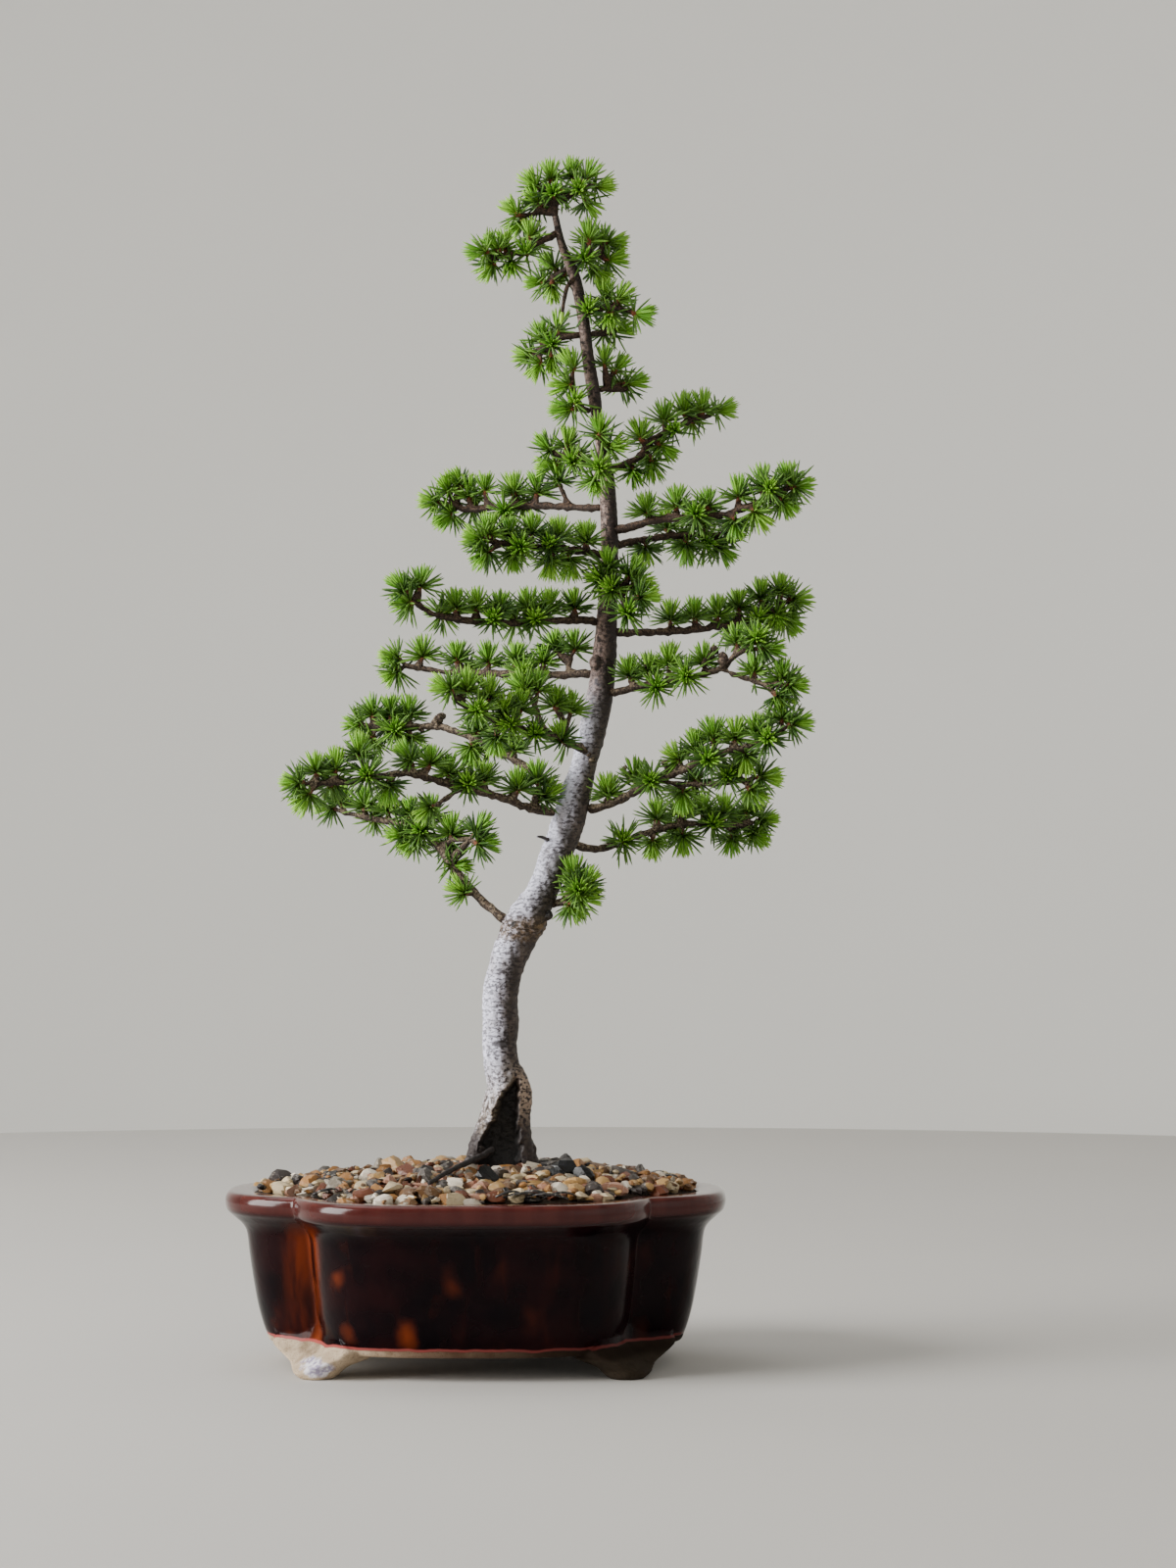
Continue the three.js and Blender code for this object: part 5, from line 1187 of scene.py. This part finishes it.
def grow(name, seed):
    """One mesh for a branch: its rounded wood, and the needles of all its buds."""
    points, wood, middle, facing = spray[name]
    used, wood = np.unique(wood, return_inverse=True)
    stem, normals, quads = rounded(points[used], wood.reshape(-1, 3))
    reach = np.linalg.norm(stem[:, None] - middle[None], axis=-1).min(axis=1)
    girth = WOOD_GROWTH * (0.75 + 0.55 * ripple(stem, 5, 12) + 0.4 * ripple(stem, 2.2, 13))
    stem = stem + normals * girth[:, None]
    bud = np.clip(1.6 - reach / 1.6, 0, 1)
    rings, age, tone, along = needles_of(middle, facing, stem, normals, reach, seed)
    groups = [quads] + [group + len(stem) for group in skin_faces(*rings.shape[:3])]
    numbers = {"bud": np.concatenate([bud, 0 * age])}
    for key, values in {"age": age, "tone": tone, "along": along}.items():
        numbers[key] = np.concatenate([0 * bud, values])
    points = np.concatenate([stem, rings.reshape(-1, 3)])
    mesh = write_mesh(name + "_spray", points, groups, numbers)
    second_finish(mesh, groups, 1)
    return mesh


print("the wood of", len(spray), "branches waits to be rounded")

# %% [markdown]
# ## Colour of needles and twigs
# New needles are yellow-green and almost glow, old ones are a deep blue-green, and all are paler at
# the foot. Numbers stored on the mesh say how old each needle is and how far along it a point lies.
# A twig's bark is weathered in patches, painted lighter on top and darker underneath as light from
# above falls.

# %% Finishes of needles and twigs
needle = Finish("needle", Specular_IOR_Level=0.28, Roughness=0.4)
age, tone, along = (needle.attribute(name) for name in ("age", "tone", "along"))
green = needle.coats(
    (46, 78, 34),
    ((116, 162, 60), tone),
    (needle.mix((94, 156, 42), (150, 202, 70), tone), age),
    ((180, 200, 96), (1 - along.between(0.0, 0.3)) * 0.22),
    ((182, 214, 96), along.between(0.7, 1.0) * (age * 0.14 + 0.08)),
)
needle.set(Base_Color=green)

twig = Finish("twig", Specular_IOR_Level=0.3, Roughness=0.75)
rough = twig.noise(1.2, detail=4, rough=0.7)
weathered = twig.coats(
    (164, 146, 122),
    ((104, 80, 64), twig.axis("Z").between(300, 400)),
    ((92, 72, 60), twig.noise(3.4).between(0.42, 0.62) * 0.8),
)
# Painted light: the weathered patches show mostly on top of the twig, and the underside keeps the
# dark ground as painted shade.
painted_light_from_above = twig.facing("Z").between(-0.6, 0.5)
wood = twig.coats(
    (34, 24, 20),
    (weathered, rough.between(0.38, 0.64) * (painted_light_from_above * 0.75 + 0.25)),
    ((132, 74, 44), twig.attribute("bud") * 0.8),
)
twig.set(Base_Color=wood, Normal=twig.bump(rough, 0.6, 0.9))

for seed, name in enumerate(FOLIAGE):
    show(grow(name, 100 + seed), "foliage", name, finishes=[twig, needle])

# %% [markdown]
# ## Stubs and a hanging twig
# Where a side twig has died a knobby stub is left. The end of each is given as the front view shows
# it, and its depth is read from the wood that is nearest there. Three lumps in a row from that wood
# out to the end make one stub. A thin twig hangs beside the leader and ends in an opened bud.

# %% Stubs and hanging twig
# Each stub: x and height of its end in the front view, and the radius of its knob.
STUBS = [
    (120.5, 358, 2.8), (124.5, 355, 2.6), (116.5, 353.5, 2.4), (-20, 329, 2.5), (-23, 326, 2.6),
    (22, 326, 1.7), (-6, 305, 1.6), (70, 306, 1.8), (86, 352, 1.6), (96, 302, 1.9), (30, 285, 1.6),
    (152, 342, 1.5), (-30, 322, 1.6), (8, 311, 1.6), (62, 300, 1.8),
]
LONGEST_STUB = 7
KNOB_STEPS = [0.1, 0.55, 1.0]
KNOB_SIZES = [1.15, 0.9, 1.0]
HANGING_TWIG = [
    (51, -1, 553, 1.3), (46.5, -4, 548, 1.1), (44.6, -5, 541, 1.0), (43.5, -5.5, 533, 0.8),
]
OPENED_BUD = [
    (43.5, -5.5, 534, 0.7), (43.4, -5.6, 532, 1.2),
    (43.1, -5.7, 529.6, 1.1), (43, -5.8, 527.6, 0.3),
]

all_wood = np.concatenate([parts[0][np.unique(parts[1])] for parts in spray.values()])
x, z, knob = np.array(STUBS).T
apart = np.hypot(all_wood[:, 0] - x[:, None], all_wood[:, 2] - z[:, None])
near = all_wood[np.argmin(apart, axis=1)]
ends = stacked(x, near[:, 1], z) - near
ends = ends * np.minimum(1, LONGEST_STUB / np.maximum(np.linalg.norm(ends, axis=1), 1e-6))[:, None]
middles = near[:, None] + ends[:, None] * np.array(KNOB_STEPS)[:, None]
size = knob[:, None] * KNOB_SIZES
knobs = unit_stones(size.size, 41) * size.reshape(-1, 1, 1, 1) + middles.reshape(-1, 1, 1, 3)
opened = stem_skin(OPENED_BUD)
points, groups = joined([knobs, stem_skin(HANGING_TWIG), opened])
is_bud = (np.arange(len(points)) >= len(points) - opened[..., 0].size) * 1.0
stub_mesh = write_mesh("stubs", points, groups, dict.fromkeys(("bud", "age", "tone"), is_bud))
second_finish(stub_mesh, groups, len(groups) - 2)
show(stub_mesh, "foliage", finishes=[twig, needle])
print("stubs end", np.round(apart.min(axis=1), 1), "mm from the wood in the front view")

# %% [markdown]
# ## What stays as a solid
# The soil and the nets over the drainage holes are hidden by what lies on them, so their solids stay
# and only get their finish.

# %% Soil and nets
soil = Finish("soil", Specular_IOR_Level=0.2, Roughness=0.95)
soil.set(
    Base_Color=soil.mix((36, 26, 20), (84, 62, 42), soil.noise(2.5, detail=4)),
    Normal=soil.bump(1 - soil.cells(3.5), 1.5, 0.9),
)
net = Finish("net", Specular_IOR_Level=0.4)
weave = net.noise(0.6, detail=2)
net.set(Base_Color=net.mix((16, 16, 17), (34, 34, 36), weave), Roughness=weave * 0.2 + 0.5)
for name, finish in {"soil": soil, "drain_mesh_left": net, "drain_mesh_right": net}.items():
    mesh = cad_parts[name].data
    mesh.materials.clear()
    mesh.materials.append(finish.material)
    print(name, "keeps its solid and gets the finish", finish.material.name)

# %% [markdown]
# ## Floor, backdrop and light
# The floor is a plain pale disc, and a plain round wall stands far off all the way round, because a
# pale ground shows the needles' outline and its reflection draws the pot's rim. A wide soft lamp
# gives daylight from the left, a weak one fills the right, a third one and the sky light the top.

# %% Floor and wall
FLOOR_RADIUS = 1700
WALL_RADIUS = 3400
WALL_LOW = -3000
WALL_HIGH = 3400
STAGE_SIDES = 180


def stage(name, points, groups, light, dark):
    """A plain piece with an even paper finish that stands round the object and is no part of it."""
    piece = put(name, write_mesh(name, points, groups))
    paper = Finish(name + "_paper", Roughness=0.8)
    paper.set(Base_Color=paper.mix(dark, light, paper.noise(400, detail=2)))
    piece.data.materials.append(paper.material)


disc = [np.arange(STAGE_SIDES)[None]]
stage("floor", ring(FLOOR_RADIUS, 0, STAGE_SIDES), disc, (202, 199, 194), (196, 193, 188))
wall = np.concatenate([ring(WALL_RADIUS, height, STAGE_SIDES) for height in (WALL_HIGH, WALL_LOW)])
stage("wall", wall, skin_faces(1, 2, STAGE_SIDES)[:1], (236, 235, 231), (232, 231, 227))
print("the wall stands", WALL_RADIUS, "mm from the pot")

# %% Lamps and sky
# Places and sizes of lamps are in metres. After them come the power in watts and the colour.
LAMPS = {
    "daylight": ((-2.5, -0.75, 1.05), (1.5, 2.0), 172, (1.0, 0.99, 0.97)),
    "fill": ((1.4, -1.2, 0.7), (1.2, 1.2), 1, (0.95, 0.97, 1.0)),
    "sky_light": ((-0.5, 0.3, 1.7), (1.2, 1.2), 10, (1.0, 1.0, 1.0)),
}
AIM = Vector((0, 0, 0.3))
SKY_COLOUR = (0.88, 0.86, 0.82, 1)
SKY_STRENGTH = 0.34
for name, (place, size, power, tint) in LAMPS.items():
    light = bpy.data.lights.new(name, "AREA")
    light.shape = "RECTANGLE"
    light.size, light.size_y = size
    light.energy = power
    light.color = tint
    lamp = put(name, light)
    lamp.location = place
    lamp.rotation_euler = (AIM - Vector(place)).to_track_quat("-Z", "Y").to_euler()
world = bpy.data.worlds.new("sky")
world.use_nodes = True
background = world.node_tree.nodes["Background"]
background.inputs["Color"].default_value = SKY_COLOUR
background.inputs["Strength"].default_value = SKY_STRENGTH
bpy.context.scene.world = world
print(len(LAMPS), "lamps and the sky light the tree")
